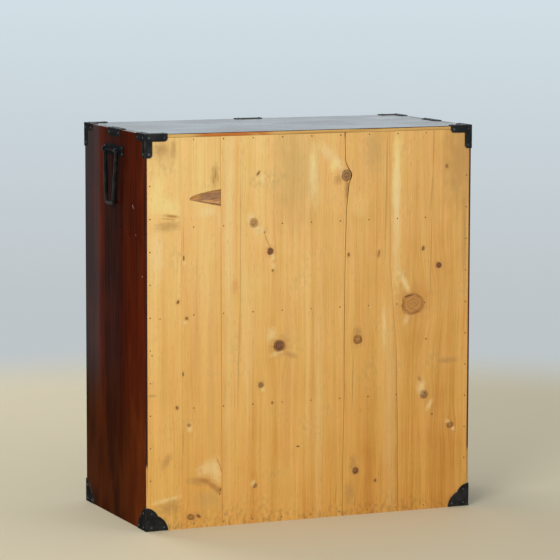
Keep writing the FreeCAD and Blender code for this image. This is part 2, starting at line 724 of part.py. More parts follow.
def hinge_leaf(low, side, reach, knuckles, bore):
    """A leaf on the front, towards +X or -X of the pin, with its knuckles."""
    near = HINGE_KNUCKLE + HINGE_CLEARANCE
    x0, x1 = sorted((HINGE_X + side * near, HINGE_X + side * reach))
    pieces = [box(x0, x1, FRONT - HINGE_PLATE, FRONT, low, low + HINGE_HEIGHT)]
    pitch = HINGE_HEIGHT / 3
    for index in knuckles:
        start = low + index * pitch + HINGE_CLEARANCE / 2
        length = pitch - HINGE_CLEARANCE
        pieces.append(rod((HINGE_X, HINGE_Y, start), (0, 0, 1), HINGE_KNUCKLE, length))
        x0, x1 = sorted((HINGE_X, HINGE_X + side * near))
        pieces.append(box(x0, x1, FRONT - HINGE_PLATE, FRONT - HINGE_CLEARANCE / 2,
                          start, start + length))
    leaf = fuse(pieces)
    if bore:
        return leaf.cut(rod((HINGE_X, HINGE_Y, low), (0, 0, 1), bore, HINGE_HEIGHT))
    return leaf


def case_leaf(low):
    return hinge_leaf(low, 1, HINGE_CASE_LEAF, (0, 2), None)


def door_leaf(low):
    return hinge_leaf(low, -1, HINGE_DOOR_LEAF, (1,), HINGE_PIN + RUNNING_FIT)


def hinge_pin(low):
    return rod((HINGE_X, HINGE_Y, low), (0, 0, 1), HINGE_PIN, HINGE_HEIGHT)


def door_lock_plate():
    """A round plate with a keyhole below the ring's eye."""
    plate = rod((DOOR_PLATE_X, FRONT - IRON, DOOR_PLATE_Z), (0, 1, 0), DOOR_PLATE, IRON)
    return cut_all(plate, keyhole(DOOR_PLATE_X, DOOR_PLATE_Z - DOOR_KEYHOLE_DROP))


def ring_eye():
    """The eye on a shank that carries the door's ring."""
    x0 = DOOR_PLATE_X - RING_EYE_LENGTH / 2
    eye = rod((x0, RING_Y, RING_PIVOT_Z), (1, 0, 0), RING_EYE, RING_EYE_LENGTH)
    shank = rod((DOOR_PLATE_X, RING_Y, RING_PIVOT_Z), (0, 1, 0), RING_SHANK,
                RING_STANDOFF + POST_DEPTH)
    bore = rod((x0 - RING_EYE_LENGTH, RING_Y, RING_PIVOT_Z), (1, 0, 0), RING_ROD + RING_PLAY,
               3 * RING_EYE_LENGTH)
    return fuse([eye, shank]).cut(bore)


def door_ring():
    centre = vector(DOOR_PLATE_X, RING_Y, RING_PIVOT_Z - RING)
    return Part.makeTorus(RING, RING_ROD, centre, vector(0, 1, 0))


# ---- Writing the nodes ----

def save_case():
    side = side_panel()
    left = mirror_x(side)
    shelf = small_shelf()
    upright = partition()
    bottom = end_board(0, BOARD, 1)
    save("side_panel_right", side)
    save("side_panel_left", left.cut(shelf))
    save("top_board", end_board(INNER_TOP, CASE_HEIGHT, 0))
    save("bottom_board", bottom.cut(upright))
    save("dust_board_lower", dust_board(DUST_LOW).cut(upright))
    save("dust_board_middle", dust_board(DUST_MIDDLE))
    save("dust_board_upper", dust_board(DUST_UPPER))
    save("partition", upright.cut(shelf))
    save("small_shelf", shelf)
    for number, plank in enumerate(back_planks(), 1):
        save("back_plank_%d" % number, plank)
    save("back_nails", *back_nails())


def save_irons():
    corner = upper_corner_iron()
    front_corner = mirror_y(corner)
    foot = back_foot_iron()
    front_foot = front_foot_iron()
    strap = side_strap()
    save("upper_corner_iron_back_right", corner)
    save("upper_corner_iron_back_left", mirror_x(corner))
    save("upper_corner_irons_front", front_corner, mirror_x(front_corner))
    save("lower_corner_iron_back_right", foot)
    save("lower_corner_iron_back_left", mirror_x(foot))
    save("lower_corner_irons_front", front_foot, mirror_x(front_foot))
    save("side_edge_straps", strap, mirror_x(strap))
    save("front_center_strap", front_strap())
    save("iron_nails", *iron_nails())


def save_handles():
    plate = carry_plate()
    pins = [carry_pin(-1), carry_pin(1)]
    handle = carry_handle()
    save("carry_plates", plate, mirror_x(plate))
    save("carry_pins", *pins, *[mirror_x(pin) for pin in pins])
    save("carry_handle_right", handle)
    save("carry_handle_left", mirror_x(handle))


def save_wide_drawer(name, low, high):
    drawer = Drawer(-INNER_RIGHT, INNER_RIGHT, low, high)
    drawer.save(name)
    z = drawer.middle_z + BAIL_RISE
    posts = []
    for x in (-BAIL_OFFSET, BAIL_OFFSET):
        posts = posts + [post(x - BAIL_HALF, z), post(x + BAIL_HALF, z)]
    save(name + "_posts", *posts)
    save(name + "_bail_left", bail(-BAIL_OFFSET, z))
    save(name + "_bail_right", bail(BAIL_OFFSET, z))
    return drawer


def save_drawers():
    top = save_wide_drawer("drawer_top", DUST_UPPER + DUST_BOARD, INNER_TOP)
    save_wide_drawer("drawer_upper", DUST_MIDDLE + DUST_BOARD, DUST_UPPER)
    save_wide_drawer("drawer_middle", DUST_LOW + DUST_BOARD, DUST_MIDDLE)
    save("drawer_top_lock_plate", drawer_lock_plate(top))
    small_upper = Drawer(-INNER_RIGHT, PARTITION_LEFT, SHELF_LEVEL + SHELF, DUST_LOW)
    small_lower = Drawer(-INNER_RIGHT, PARTITION_LEFT, BOARD, SHELF_LEVEL)
    small_upper.save_small("small_drawer_upper")
    small_lower.save_small("small_drawer_lower")


def save_door():
    save("door_panel", door_panel())
    save("door_hinge_case_leaves", *[case_leaf(low) for low in HINGE_LEVELS])
    save("door_hinge_door_leaves", *[door_leaf(low) for low in HINGE_LEVELS])
    save("door_hinge_pins", *[hinge_pin(low) for low in HINGE_LEVELS])
    save("door_lock_plate", door_lock_plate())
    save("door_ring_eye", ring_eye())
    save("door_ring", door_ring())


os.makedirs("parts", exist_ok=True)
save_case()
save_irons()
save_handles()
save_drawers()
save_door()
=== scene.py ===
"""Looks of a small tansu chest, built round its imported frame.

Everything is in metres in the frame's own axes: +Z is up, the front with the drawers faces
-Y and the nailed pine back faces +Y. Sizes that a cabinet maker would quote are written in
millimetres and turned into metres with MM.
"""

import logging
import math
from collections.abc import Callable, Sequence
from dataclasses import dataclass
from enum import Enum
from functools import partial

import bmesh
import bpy
import numpy as np
from mathutils import Matrix, Vector, noise

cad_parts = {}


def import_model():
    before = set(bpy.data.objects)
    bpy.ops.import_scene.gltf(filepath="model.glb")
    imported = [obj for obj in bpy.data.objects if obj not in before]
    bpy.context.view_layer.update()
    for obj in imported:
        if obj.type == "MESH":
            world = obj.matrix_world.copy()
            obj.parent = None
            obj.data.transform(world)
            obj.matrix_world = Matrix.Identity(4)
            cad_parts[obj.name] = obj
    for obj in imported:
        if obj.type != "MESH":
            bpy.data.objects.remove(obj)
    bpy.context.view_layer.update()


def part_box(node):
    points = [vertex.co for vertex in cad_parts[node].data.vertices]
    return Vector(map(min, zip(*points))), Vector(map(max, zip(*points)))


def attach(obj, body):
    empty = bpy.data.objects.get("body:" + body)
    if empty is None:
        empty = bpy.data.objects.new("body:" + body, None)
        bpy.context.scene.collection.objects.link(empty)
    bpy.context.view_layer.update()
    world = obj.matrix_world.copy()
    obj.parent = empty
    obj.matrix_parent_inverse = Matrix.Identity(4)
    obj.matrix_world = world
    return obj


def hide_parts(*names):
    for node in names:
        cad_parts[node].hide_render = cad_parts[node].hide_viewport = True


LOG = logging.getLogger("chest")
MM = 0.001
WEAR = "wear"
FACING = "facing"

Node = bpy.types.Node
Socket = bpy.types.NodeSocket
BMesh = bmesh.types.BMesh
Face = bmesh.types.BMFace
Edge = bmesh.types.BMEdge
Colour = tuple[float, float, float, float]
Shown = tuple[int, int, int]
Value = float | tuple[float, ...] | Socket
Inputs = dict[str | int, Value]
Spot = tuple[float, float]


def tone(red: float, green: float, blue: float) -> Colour:
    """A linear colour.

    Args:
        red, green, blue: The colour as displayed, from 0 to 255.

    Returns:
        The colour in linear light, with full alpha.
    """
    shares = [value / 255 for value in (red, green, blue)]
    linear = [v / 12.92 if v <= 0.04045 else ((v + 0.055) / 1.055) ** 2.4 for v in shares]
    return (*linear, 1.0)


class Axis(Enum):
    """An axis of the frame, such as the one that grain runs along."""

    X = 0
    Y = 1
    Z = 2


# ---------- node trees


class Net:
    """Builds a node tree socket by socket."""

    def __init__(self, tree: bpy.types.NodeTree) -> None:
        """Starts on a tree that may already hold nodes."""
        self.tree = tree

    def feed(self, node: Node, inputs: Inputs) -> None:
        """Links a node's inputs to other sockets, or writes their values.

        Args:
            node: The node.
            inputs: What each input takes, by its name or number.
        """
        for key, value in inputs.items():
            if isinstance(value, Socket):
                self.tree.links.new(value, node.inputs[key])
            else:
                node.inputs[key].default_value = value

    def node(self, kind: str, inputs: Inputs | None = None, **settings: object) -> Node:
        """Adds a node.

        Args:
            kind: Its type.
            inputs: What its inputs take, by name or number.
            **settings: Its properties.

        Returns:
            The node.
        """
        made = self.tree.nodes.new(kind)
        for name, value in settings.items():
            setattr(made, name, value)
        self.feed(made, inputs or {})
        return made

    def maths(self, operation: str, *values: Value) -> Socket:
        """The result of a Math node."""
        return self.node("ShaderNodeMath", dict(enumerate(values)), operation=operation).outputs[0]

    def plus(self, first: Value, second: Value) -> Socket:
        """The sum of two numbers."""
        return self.maths("ADD", first, second)

    def minus(self, first: Value, second: Value) -> Socket:
        """The first number less the second."""
        return self.maths("SUBTRACT", first, second)

    def times(self, first: Value, second: Value) -> Socket:
        """The product of two numbers."""
        return self.maths("MULTIPLY", first, second)

    def scaled(self, value: Value, gain: Value, shift: Value) -> Socket:
        """A number times a gain, plus a shift."""
        return self.maths("MULTIPLY_ADD", value, gain, shift)

    def swing(self, value: Value, width: float) -> Socket:
        """A number counted from its middle of 0.5, over a width."""
        return self.scaled(value, width, -width / 2)

    def total(self, start: Value, *parts: tuple[Value, float]) -> Socket:
        """A start plus weighted values.

        Args:
            start: The number to start from.
            *parts: Values and their weights, each counted from its middle of 0.5.

        Returns:
            The sum.
        """
        result = start
        for value, weight in parts:
            result = self.plus(result, self.swing(value, weight))
        return result

    def vector(self, operation: str, *values: Value) -> Socket:
        """The result of a Vector Math node: a number for a length or dot product."""
        made = self.node("ShaderNodeVectorMath", dict(enumerate(values)), operation=operation)
        return made.outputs[1 if operation in ("LENGTH", "DOT_PRODUCT") else 0]

    def join(self, x: Value, y: Value, z: Value) -> Socket:
        """A vector from three numbers."""
        return self.node("ShaderNodeCombineXYZ", {0: x, 1: y, 2: z}).outputs[0]

    def split(self, vector: Value) -> Sequence[Socket]:
        """The three numbers of a vector."""
        return self.node("ShaderNodeSeparateXYZ", {0: vector}).outputs

    def noise(self, place: Value, scale: float | tuple[float, float, float] = 1.0,
              detail: float = 2.0) -> Socket:
        """Smooth noise.

        Args:
            place: Where it is read.
            scale: Features in a unit, the same along every axis or one for each.
            detail: How finely it breaks up.

        Returns:
            The noise, about 0.5 in the middle.
        """
        if isinstance(scale, tuple):
            place, scale = self.vector("MULTIPLY", place, scale), 1.0
        inputs = {"Vector": place, "Scale": scale, "Detail": detail}
        return self.node("ShaderNodeTexNoise", inputs).outputs["Fac"]

    def fade(self, value: Value, start: float, end: float, clear: float = 0.0, full: float = 1.0) -> Socket:
        """A smooth step.

        Args:
            value: What is stepped.
            start, end: Where the step starts and ends; start may be the higher one.
            clear, full: The results at the start and at the end.

        Returns:
            The stepped value.
        """
        low, high = (clear, full) if start < end else (full, clear)
        inputs = {"Value": value, "From Min": min(start, end), "From Max": max(start, end),
                  "To Min": low, "To Max": high}
        return self.node("ShaderNodeMapRange", inputs, interpolation_type="SMOOTHSTEP").outputs[0]

    def mix(self, share: Value, under: Value, over: Value) -> Socket:
        """A colour between two."""
        return self.node("ShaderNodeMix", {0: share, 6: under, 7: over}, data_type="RGBA").outputs[2]

    def ramp(self, value: Value, *stops: tuple[float, Colour]) -> Socket:
        """A colour read off a ramp.

        Args:
            value: Where it is read.
            *stops: Places along the ramp and their colours.

        Returns:
            The colour.
        """
        made = self.node("ShaderNodeValToRGB", {0: value})
        elements = made.color_ramp.elements
        elements[0].position, elements[0].color = stops[0]
        elements[1].position, elements[1].color = stops[-1]
        for place, colour in stops[1:-1]:
            elements.new(place).color = colour
        return made.outputs[0]

    def bump(self, height: Value, strength: float, depth: float) -> Socket:
        """A normal from a height, with the depth in metres."""
        inputs = {"Height": height, "Strength": strength, "Distance": depth}
        return self.node("ShaderNodeBump", inputs).outputs["Normal"]


def shared_group(name: str, inputs: dict[str, str], outputs: dict[str, str],
                 fill: Callable[[Net, dict[str, Socket]], Inputs]) -> bpy.types.NodeTree:
    """A shader group, made once.

    Args:
        name: The group's name.
        inputs, outputs: Socket names and their types.
        fill: Takes a Net and the input sockets by name, and gives the outputs by name.

    Returns:
        The group's tree.
    """
    found = bpy.data.node_groups.get(name)
    if found:
        return found
    tree = bpy.data.node_groups.new(name, "ShaderNodeTree")
    for way, sockets in (("INPUT", inputs), ("OUTPUT", outputs)):
        for socket, kind in sockets.items():
            tree.interface.new_socket(socket, in_out=way, socket_type="NodeSocket" + kind)
    net = Net(tree)
    given = net.node("NodeGroupInput").outputs
    net.node("NodeGroupOutput", fill(net, dict(given.items())))
    return tree


# ---------- marks in wood


@dataclass(frozen=True)
class MarkStyle:
    """How a mark looks: its colours as displayed, and how strongly its core, rim and halo show."""

    core: Shown
    rim: Shown
    halo: Shown
    shares: tuple[float, float, float]
    rings: float = 0.0
    push: float = 0.0


def stain(colour: Shown, share: float) -> MarkStyle:
    """A mark that is one soft patch of a colour."""
    return MarkStyle(colour, colour, colour, (0.0, 0.0, share))


class Flaw(Enum):
    """The marks found in the wood and its lacquer."""

    BROWN_KNOT = MarkStyle((206, 148, 80), (164, 108, 50), (212, 150, 78), (0.85, 1.0, 0.6), 19.0, 0.7)
    DARK_KNOT = MarkStyle((138, 84, 56), (80, 44, 28), (204, 142, 78), (0.95, 0.8, 0.6), 9.0, 0.7)
    TAN_KNOT = MarkStyle((188, 138, 84), (130, 80, 40), (244, 204, 132), (0.8, 0.5, 0.6), 11.0, 0.7)
    GREY_KNOT = MarkStyle((166, 124, 76), (98, 60, 32), (214, 156, 88), (0.88, 0.8, 0.5), 11.0, 0.7)
    RING_KNOT = MarkStyle((190, 134, 68), (92, 54, 24), (210, 146, 78), (0.8, 0.95, 0.5), 9.0, 0.6)
    SPECK = MarkStyle((118, 72, 36), (150, 98, 50), (206, 150, 84), (0.85, 0.4, 0.55), 0.0, 0.4)
    LINE = MarkStyle((166, 112, 56), (186, 132, 70), (212, 158, 90), (0.6, 0.25, 0.1))
    DASH = MarkStyle((90, 52, 28), (120, 78, 44), (206, 150, 88), (0.9, 0.4, 0.3), 0.0, 0.2)
    FIGURE = MarkStyle((190, 130, 64), (172, 112, 52), (202, 146, 78), (0.5, 0.15, 0.8), 8.0, 0.2)
    PALE = stain((253, 224, 160), 0.54)
    GLOW = stain((255, 223, 144), 0.95)
    BLUSH = stain((214, 150, 88), 0.35)
    VEIL = stain((250, 218, 150), 0.28)
    GREYED = stain((196, 160, 102), 0.4)
    SMOKED = stain((182, 136, 78), 0.55)
    PINK = stain((226, 152, 90), 0.55)
    SCRATCH = MarkStyle((196, 176, 166), (150, 110, 98), (80, 30, 18), (0.85, 0.3, 0.0))
    # Near-black spots in the lacquer of the side.
    BLACK_SPOT = MarkStyle((20, 9, 7), (34, 14, 10), (48, 18, 11), (0.8, 0.3, 0.2))


@dataclass(frozen=True)
class Mark:
    """A knot, stain or scratch in a flat face, in millimetres and degrees."""

    kind: Flaw
    across: float
    up: float
    half_width: float
    half_height: float
    tilt: float = 0.0

    @property
    def centre(self) -> tuple[float, float, float]:
        """The mark's middle in metres, in the plane of the face."""
        return (self.across * MM, 0.0, self.up * MM)

    def size(self, wider: float = 1.0, taller: float = 1.0) -> tuple[float, float, float]:
        """The mark's half width and height in metres, each times a share."""
        return (self.half_width * wider * MM, 1.0, self.half_height * taller * MM)


def in_order(runs: Sequence[tuple]) -> tuple[Mark, ...]:
    """The marks of runs, each a kind and then the place, half size and tilt of its marks."""
    return tuple(Mark(kind, *spot) for kind, *spots in runs for spot in spots)


def fill_flow(net: Net, given: dict[str, Socket]) -> Inputs:
    """Pushes grain aside round a knot.

    Args:
        net: The group's tree.
        given: The group's inputs.

    Returns:
        The group's outputs.
    """
    offset = net.vector("SUBTRACT", given["Place"], given["Centre"])
    near = net.vector("DIVIDE", offset, given["Reach"])
    pull = net.maths("EXPONENT", net.times(net.vector("DOT_PRODUCT", near, near), -1.0))
    shift = net.times(net.split(offset)[0], net.times(pull, given["Push"]))
    return {"Place": net.vector("SUBTRACT", given["Place"], net.join(shift, 0.0, 0.0))}


def fill_mark(net: Net, given: dict[str, Socket]) -> Inputs:
    """Paints one mark's halo, core and rim over a colour.

    Args:
        net: The group's tree.
        given: The group's inputs.

    Returns:
        The group's outputs.
    """
    offset = net.vector("SUBTRACT", given["Place"], given["Centre"])
    turn = net.node("ShaderNodeVectorRotate", {"Vector": offset, "Angle": given["Tilt"]},
                    rotation_type="Y_AXIS")
    near = net.vector("DIVIDE", turn.outputs[0], given["Size"])
    wobble = net.noise(near, 1.6, 1.0)
    distance = net.plus(net.vector("LENGTH", near), net.swing(wobble, 0.5))
    phase = net.times(net.scaled(net.noise(near, 2.4, 3.0), 0.55, distance), given["Rings"])
    rings = net.scaled(net.maths("SINE", phase), 0.45, 0.5)
    core = net.fade(distance, 1.1, 0.66)
    rim = net.times(net.fade(distance, 0.72, 0.94), net.fade(distance, 1.18, 1.0))
    rim = net.times(rim, net.fade(wobble, 0.3, 0.62, 0.35, 1.0))
    halo = net.fade(net.plus(distance, net.swing(wobble, 1.6)), 2.6, 0.2)
    shade = net.mix(net.times(rings, 0.8), given["Core"], given["Rim"])
    colour = net.mix(net.times(halo, given["Halo Share"]), given["Colour"], given["Halo"])
    colour = net.mix(net.times(core, given["Core Share"]), colour, shade)
    return {"Colour": net.mix(net.times(rim, given["Rim Share"]), colour, given["Rim"])}


def flow_round(net: Net, place: Value, marks: Sequence[Mark]) -> Value:
    """Bends a place in the face so that grain read from it flows round the knots.

    Args:
        net: The tree to work in.
        place: The place in the face.
        marks: The marks in the face; those with a push bend the grain.

    Returns:
        The bent place.
    """
    inputs = {"Place": "Vector", "Centre": "Vector", "Reach": "Vector", "Push": "Float"}
    tree = shared_group("grain_flow", inputs, {"Place": "Vector"}, fill_flow)
    for mark in marks:
        if mark.kind.value.push:
            place = net.node("ShaderNodeGroup", node_tree=tree, inputs={
                "Place": place, "Centre": mark.centre, "Reach": mark.size(2.1, 4.2),
                "Push": mark.kind.value.push}).outputs[0]
    return place


def paint_marks(net: Net, colour: Value, place: Value, marks: Sequence[Mark]) -> Value:
    """Paints marks one over another.

    Args:
        net: The tree to paint in.
        colour: The colour under the marks.
        place: The place in the face, slightly disturbed so that no mark is a true ellipse.
        marks: The marks, lowest first.

    Returns:
        The painted colour.
    """
    inputs = {"Colour": "Color", "Place": "Vector", "Centre": "Vector", "Size": "Vector",
              "Tilt": "Float", "Core": "Color", "Rim": "Color", "Halo": "Color",
              "Core Share": "Float", "Rim Share": "Float", "Halo Share": "Float", "Rings": "Float"}
    tree = shared_group("wood_mark", inputs, {"Colour": "Color"}, fill_mark)
    for mark in marks:
        style = mark.kind.value
        core, rim, halo = style.shares
        colour = net.node("ShaderNodeGroup", node_tree=tree, inputs={
            "Colour": colour, "Place": place, "Centre": mark.centre, "Size": mark.size(),
            "Tilt": math.radians(mark.tilt), "Core": tone(*style.core), "Rim": tone(*style.rim),
            "Halo": tone(*style.halo), "Core Share": core, "Rim Share": rim, "Halo Share": halo,
            "Rings": style.rings}).outputs[0]
    return colour


# ---------- finishes


@dataclass(frozen=True)
class Finish:
    """A finish with a material of its own."""

    name: str

    def material(self) -> bpy.types.Material:
        """The material, made the first time it is asked for.

        Returns:
            The material.
        """
        found = bpy.data.materials.get(self.name)
        if found:
            return found
        made = bpy.data.materials.new(self.name)
        made.use_nodes = True
        net = Net(made.node_tree)
        net.feed(made.node_tree.nodes["Principled BSDF"], self.paint(net))
        return made

    def paint(self, net: Net) -> Inputs:
        """Fills the material's tree and gives what its shader's inputs take."""
        raise NotImplementedError


def own_place(net: Net) -> Socket:
    """The place on the piece, in the frame's metres."""
    return net.node("ShaderNodeTexCoord").outputs["Object"]


def wear_of(net: Net) -> Socket:
    """How worn the piece is here, from 0 to 1."""
    return net.node("ShaderNodeAttribute", attribute_name=WEAR).outputs["Fac"]


def streaks(net: Net, place: Value, axis: Axis, across: float, along: float, seed: float,
            detail: float = 3.0) -> Socket:
    """Noise drawn out along the grain.

    Args:
        net: The tree.
        place: The place, in metres.
        axis: The axis that the grain runs along.
        across, along: Features in a metre, across and along the grain.
        seed: Moves the pattern.
        detail: How finely it breaks up.

    Returns:
        The noise, about 0.5 in the middle.
    """
    scales = [across] * 3
    scales[axis.value] = along
    stretched = net.vector("MULTIPLY", place, tuple(scales))
    return net.noise(net.vector("ADD", stretched, (seed * 7.3, seed * 3.1, seed * 5.7)), 1.0, detail)


@dataclass(frozen=True)
class Wedge:
    """A knot cut lengthwise into a wedge, from its tip to the seam that cuts it off, in mm."""

    tip: Spot = (224.6, 561.0)
    seam: float = 165.5
    top: float = 577.5
    bottom: float = 548.5
    core: Colour = tone(172, 128, 92)
    rim: Colour = tone(206, 144, 78)
    pink: Colour = tone(226, 170, 116)
    outline: Colour = tone(118, 66, 32)

    def paint(self, net: Net, colour: Value, place: Value) -> Value:
        """Paints the wedge over a colour: an orange shell, a grey-brown core, dark edges.

        Args:
            net: The tree.
            colour: The colour under the wedge.
            place: The place in the face.

        Returns:
            The painted colour.
        """
        x, _, z = net.split(place)
        tip = self.tip[1] * MM
        share = net.node("ShaderNodeMapRange", {"Value": x, "From Min": self.tip[0] * MM,
                                                "From Max": self.seam * MM}).outputs[0]
        low = net.scaled(share, (self.bottom - self.tip[1]) * MM, tip)
        high = net.scaled(net.maths("POWER", share, 0.45), (self.top - self.tip[1]) * MM, tip)
        up = net.maths("DIVIDE", net.minus(z, low), net.minus(high, low))
        inside = net.times(net.fade(up, -0.06, 0.04), net.fade(up, 1.06, 0.94))
        inside = net.times(inside, net.fade(share, 0.005, 0.03))
        floor = net.scaled(share, 0.36, 0.06)
        core = net.times(net.fade(net.minus(up, floor), -0.04, 0.06), net.fade(up, 0.93, 0.82))
        core = net.times(core, net.fade(share, 0.26, 0.4))
        shell = net.mix(net.fade(up, 0.5, 0.1), self.rim, self.pink)
        body = net.mix(net.times(core, 0.92), shell, self.core)
        grain = net.noise(place, (70.0, 1.0, 420.0), 3.0)
        body = net.mix(net.fade(grain, 0.42, 0.66, 0.0, 0.5), body, self.outline)
        above = net.times(net.fade(up, 0.86, 0.98), 0.7)
        edge = net.maths("MAXIMUM", net.fade(up, 0.17, 0.04), above)
        return net.mix(inside, colour, net.mix(net.times(edge, 0.85), body, self.outline))


@dataclass(frozen=True)
class Ripple:
    """Short slanted ripples, as where a plane chattered over wild grain, in mm."""

    middle: Spot = (-90.0, 540.0)
    half_width: float = 17.0
    half_height: float = 24.0
    slant: Spot = (900.0, 1350.0)
    light: Colour = tone(255, 215, 140)

    def paint(self, net: Net, colour: Value, place: Value) -> Value:
        """Paints the ripples over a colour.

        Args:
            net: The tree.
            colour: The colour under the ripples.
            place: The place in the face.

        Returns:
            The painted colour.
        """
        across, up = self.middle
        offset = net.vector("SUBTRACT", place, (across * MM, 0.0, up * MM))
        size = (self.half_width * MM, 1.0, self.half_height * MM)
        near = net.vector("LENGTH", net.vector("DIVIDE", offset, size))
        x, _, z = net.split(offset)
        phase = net.plus(net.times(x, self.slant[0]), net.times(z, self.slant[1]))
        wave = net.maths("SINE", net.plus(phase, net.times(net.noise(place, 120.0, 2.0), 5.0)))
        share = net.times(net.fade(wave, 0.1, 0.9), net.fade(near, 1.2, 0.4))
        return net.mix(net.times(share, 0.8), colour, self.light)


@dataclass(frozen=True)
class PineFinish(Finish):
    """Bare planed pine, aged to honey yellow, with its grain upright in the XZ plane."""

    seed: float
    lightness: float = 0.5
    marks: tuple[Mark, ...] = ()
    features: tuple[Wedge | Ripple, ...] = ()
    pale: Colour = tone(255, 215, 140)
    light: Colour = tone(246, 197, 120)
    honey: Colour = tone(234, 180, 101)
    amber: Colour = tone(214, 154, 75)
    brown: Colour = tone(182, 122, 54)
    smudge: Colour = tone(176, 144, 92)
    foot_blotch: Colour = tone(96, 70, 44)
    glue: Colour = tone(88, 56, 30)
    joint_depth: Spot = (0.1433, 0.1488)

    def paint(self, net: Net) -> Inputs:
        """Draws grain in four widths round the knots, lighter towards the top and +X as painted light, then
        the marks and the dark blotches along the foot.

        Args:
            net: The material's tree.

        Returns:
            What its shader's inputs take.
        """
        x, depth, z = net.split(own_place(net))
        flat = net.join(x, 0.0, z)
        sway = net.swing(net.noise(net.join(self.seed, 0.0, z), 3.2, 1.0), 9 * MM)
        bent = net.vector("ADD", flow_round(net, flat, self.marks), net.join(sway, 0.0, 0.0))
        grain = partial(streaks, net, bent, Axis.Z)
        fine = grain(820.0, 14.0, self.seed, 4.0)
        narrow = grain(300.0, 6.0, self.seed + 1.0, 3.0)
        medium = grain(105.0, 2.4, self.seed + 2.0, 2.0)
        wide = grain(38.0, 1.1, self.seed + 3.0, 1.0)
        cloud = net.noise(net.vector("ADD", flat, (self.seed, 0.0, 0.0)), 14.0, 3.0)
        # The grain's middle rises towards the top and +X: painted light from above and from the +X side.
        value = net.total(self.age(net, x, z), (fine, 0.36), (narrow, 0.26), (medium, 0.26),
                          (wide, 0.36), (cloud, 0.28))
        colour = net.ramp(value, (0.05, self.brown), (0.28, self.amber), (0.47, self.honey),
                          (0.66, self.light), (0.9, self.pale))
        colour = self.patches_and_painted_foot_shade(net, colour, net.noise(bent, (46.0, 1.0, 9.0), 3.0), z)
        lines = net.fade(grain(430.0, 3.0, self.seed + 5.0, 1.0), 0.58, 0.72, 0.0, 0.22)
        colour = net.mix(lines, colour, self.amber)
        shake = [net.swing(net.noise(flat, scale, 2.0), 1.6 * MM) for scale in (190.0, 150.0)]
        shaken = net.vector("ADD", flat, net.join(shake[0], 0.0, shake[1]))
        colour = paint_marks(net, colour, shaken, self.marks)
        for feature in self.features:
            colour = feature.paint(net, colour, shaken)
        pores = net.fade(grain(560.0, 70.0, self.seed + 9.0, 2.0), 0.58, 0.76, 0.0, 0.28)
        colour = self.blotched_and_smudged(net, net.mix(pores, colour, self.brown), flat, cloud)
        near, far = self.joint_depth
        joint = net.times(net.fade(depth, far + 0.4 * MM, far - 0.4 * MM),
                          net.fade(depth, near - 0.2 * MM, near + 0.2 * MM))
        ridges = net.total(0.5, (fine, 0.7), (narrow, 0.5))
        return {"Base Color": net.mix(joint, colour, self.glue),
                "Roughness": net.total(0.5, (medium, 0.22), (cloud, 0.12)),
                "Specular IOR Level": 0.3,
                "Normal": net.bump(ridges, 0.25, 0.25 * MM)}

    def age(self, net: Net, x: Value, z: Value) -> Socket:
        """How light the wood is painted: lighter high up and towards +X, as painted light falling from
        above and from the +X side.

        Args:
            net: The tree.
            x, z: The place in the face.

        Returns:
            The middle of its grain on the ramp from brown to pale.
        """
        slope = net.scaled(z, 0.36, 0.09)
        shift = net.plus(net.times(x, slope), net.times(z, 0.32))
        return net.plus(shift, self.lightness - 0.12)

    def patches_and_painted_foot_shade(self, net: Net, colour: Value, hue: Value, z: Value) -> Socket:
        """Redder and greener patches, and a darker, warmer foot that is painted shade.

        Args:
            net: The tree.
            colour: The colour of the grain.
            hue: A slow noise that parts the patches.
            z: The height.

        Returns:
            The patched colour, with its painted shade at the foot.
        """
        red, green = (net.vector("MULTIPLY", colour, share)
                      for share in ((1.03, 0.965, 0.965), (0.99, 1.0, 0.93)))
        colour = net.mix(net.fade(hue, 0.36, 0.64, 0.2, 0.85), red, green)
        # Painted shade: the foot is darker and more orange, fading out towards the top.
        foot = net.vector("MULTIPLY", colour, (0.9, 0.83, 0.6))
        return net.mix(net.fade(z, 0.62, -0.1, 0.0, 0.9), colour, foot)

    def blotched_and_smudged(self, net: Net, colour: Value, flat: Value, cloud: Value) -> Socket:
        """Dark blotches along the foot and faint smudges all over.

        Args:
            net: The tree.
            colour: The colour before the blotches and smudges.
            flat: The place in the face.
            cloud: A slow noise that gathers the blotches.

        Returns:
            The blotched and smudged colour.
        """
        blot = net.noise(flat, (150.0, 1.0, 90.0), 5.0)
        low = net.plus(net.split(flat)[2], net.swing(cloud, -0.05))
        blotches = net.times(net.fade(low, 0.04, -0.01), net.fade(blot, 0.44, 0.66, 0.0, 0.42))
        # Dark blotches, darker towards the bottom.
        colour = net.mix(blotches, colour, self.foot_blotch)
        smudge = net.times(net.fade(cloud, 0.54, 0.72), net.fade(blot, 0.4, 0.64, 0.0, 0.28))
        return net.mix(smudge, colour, self.smudge)


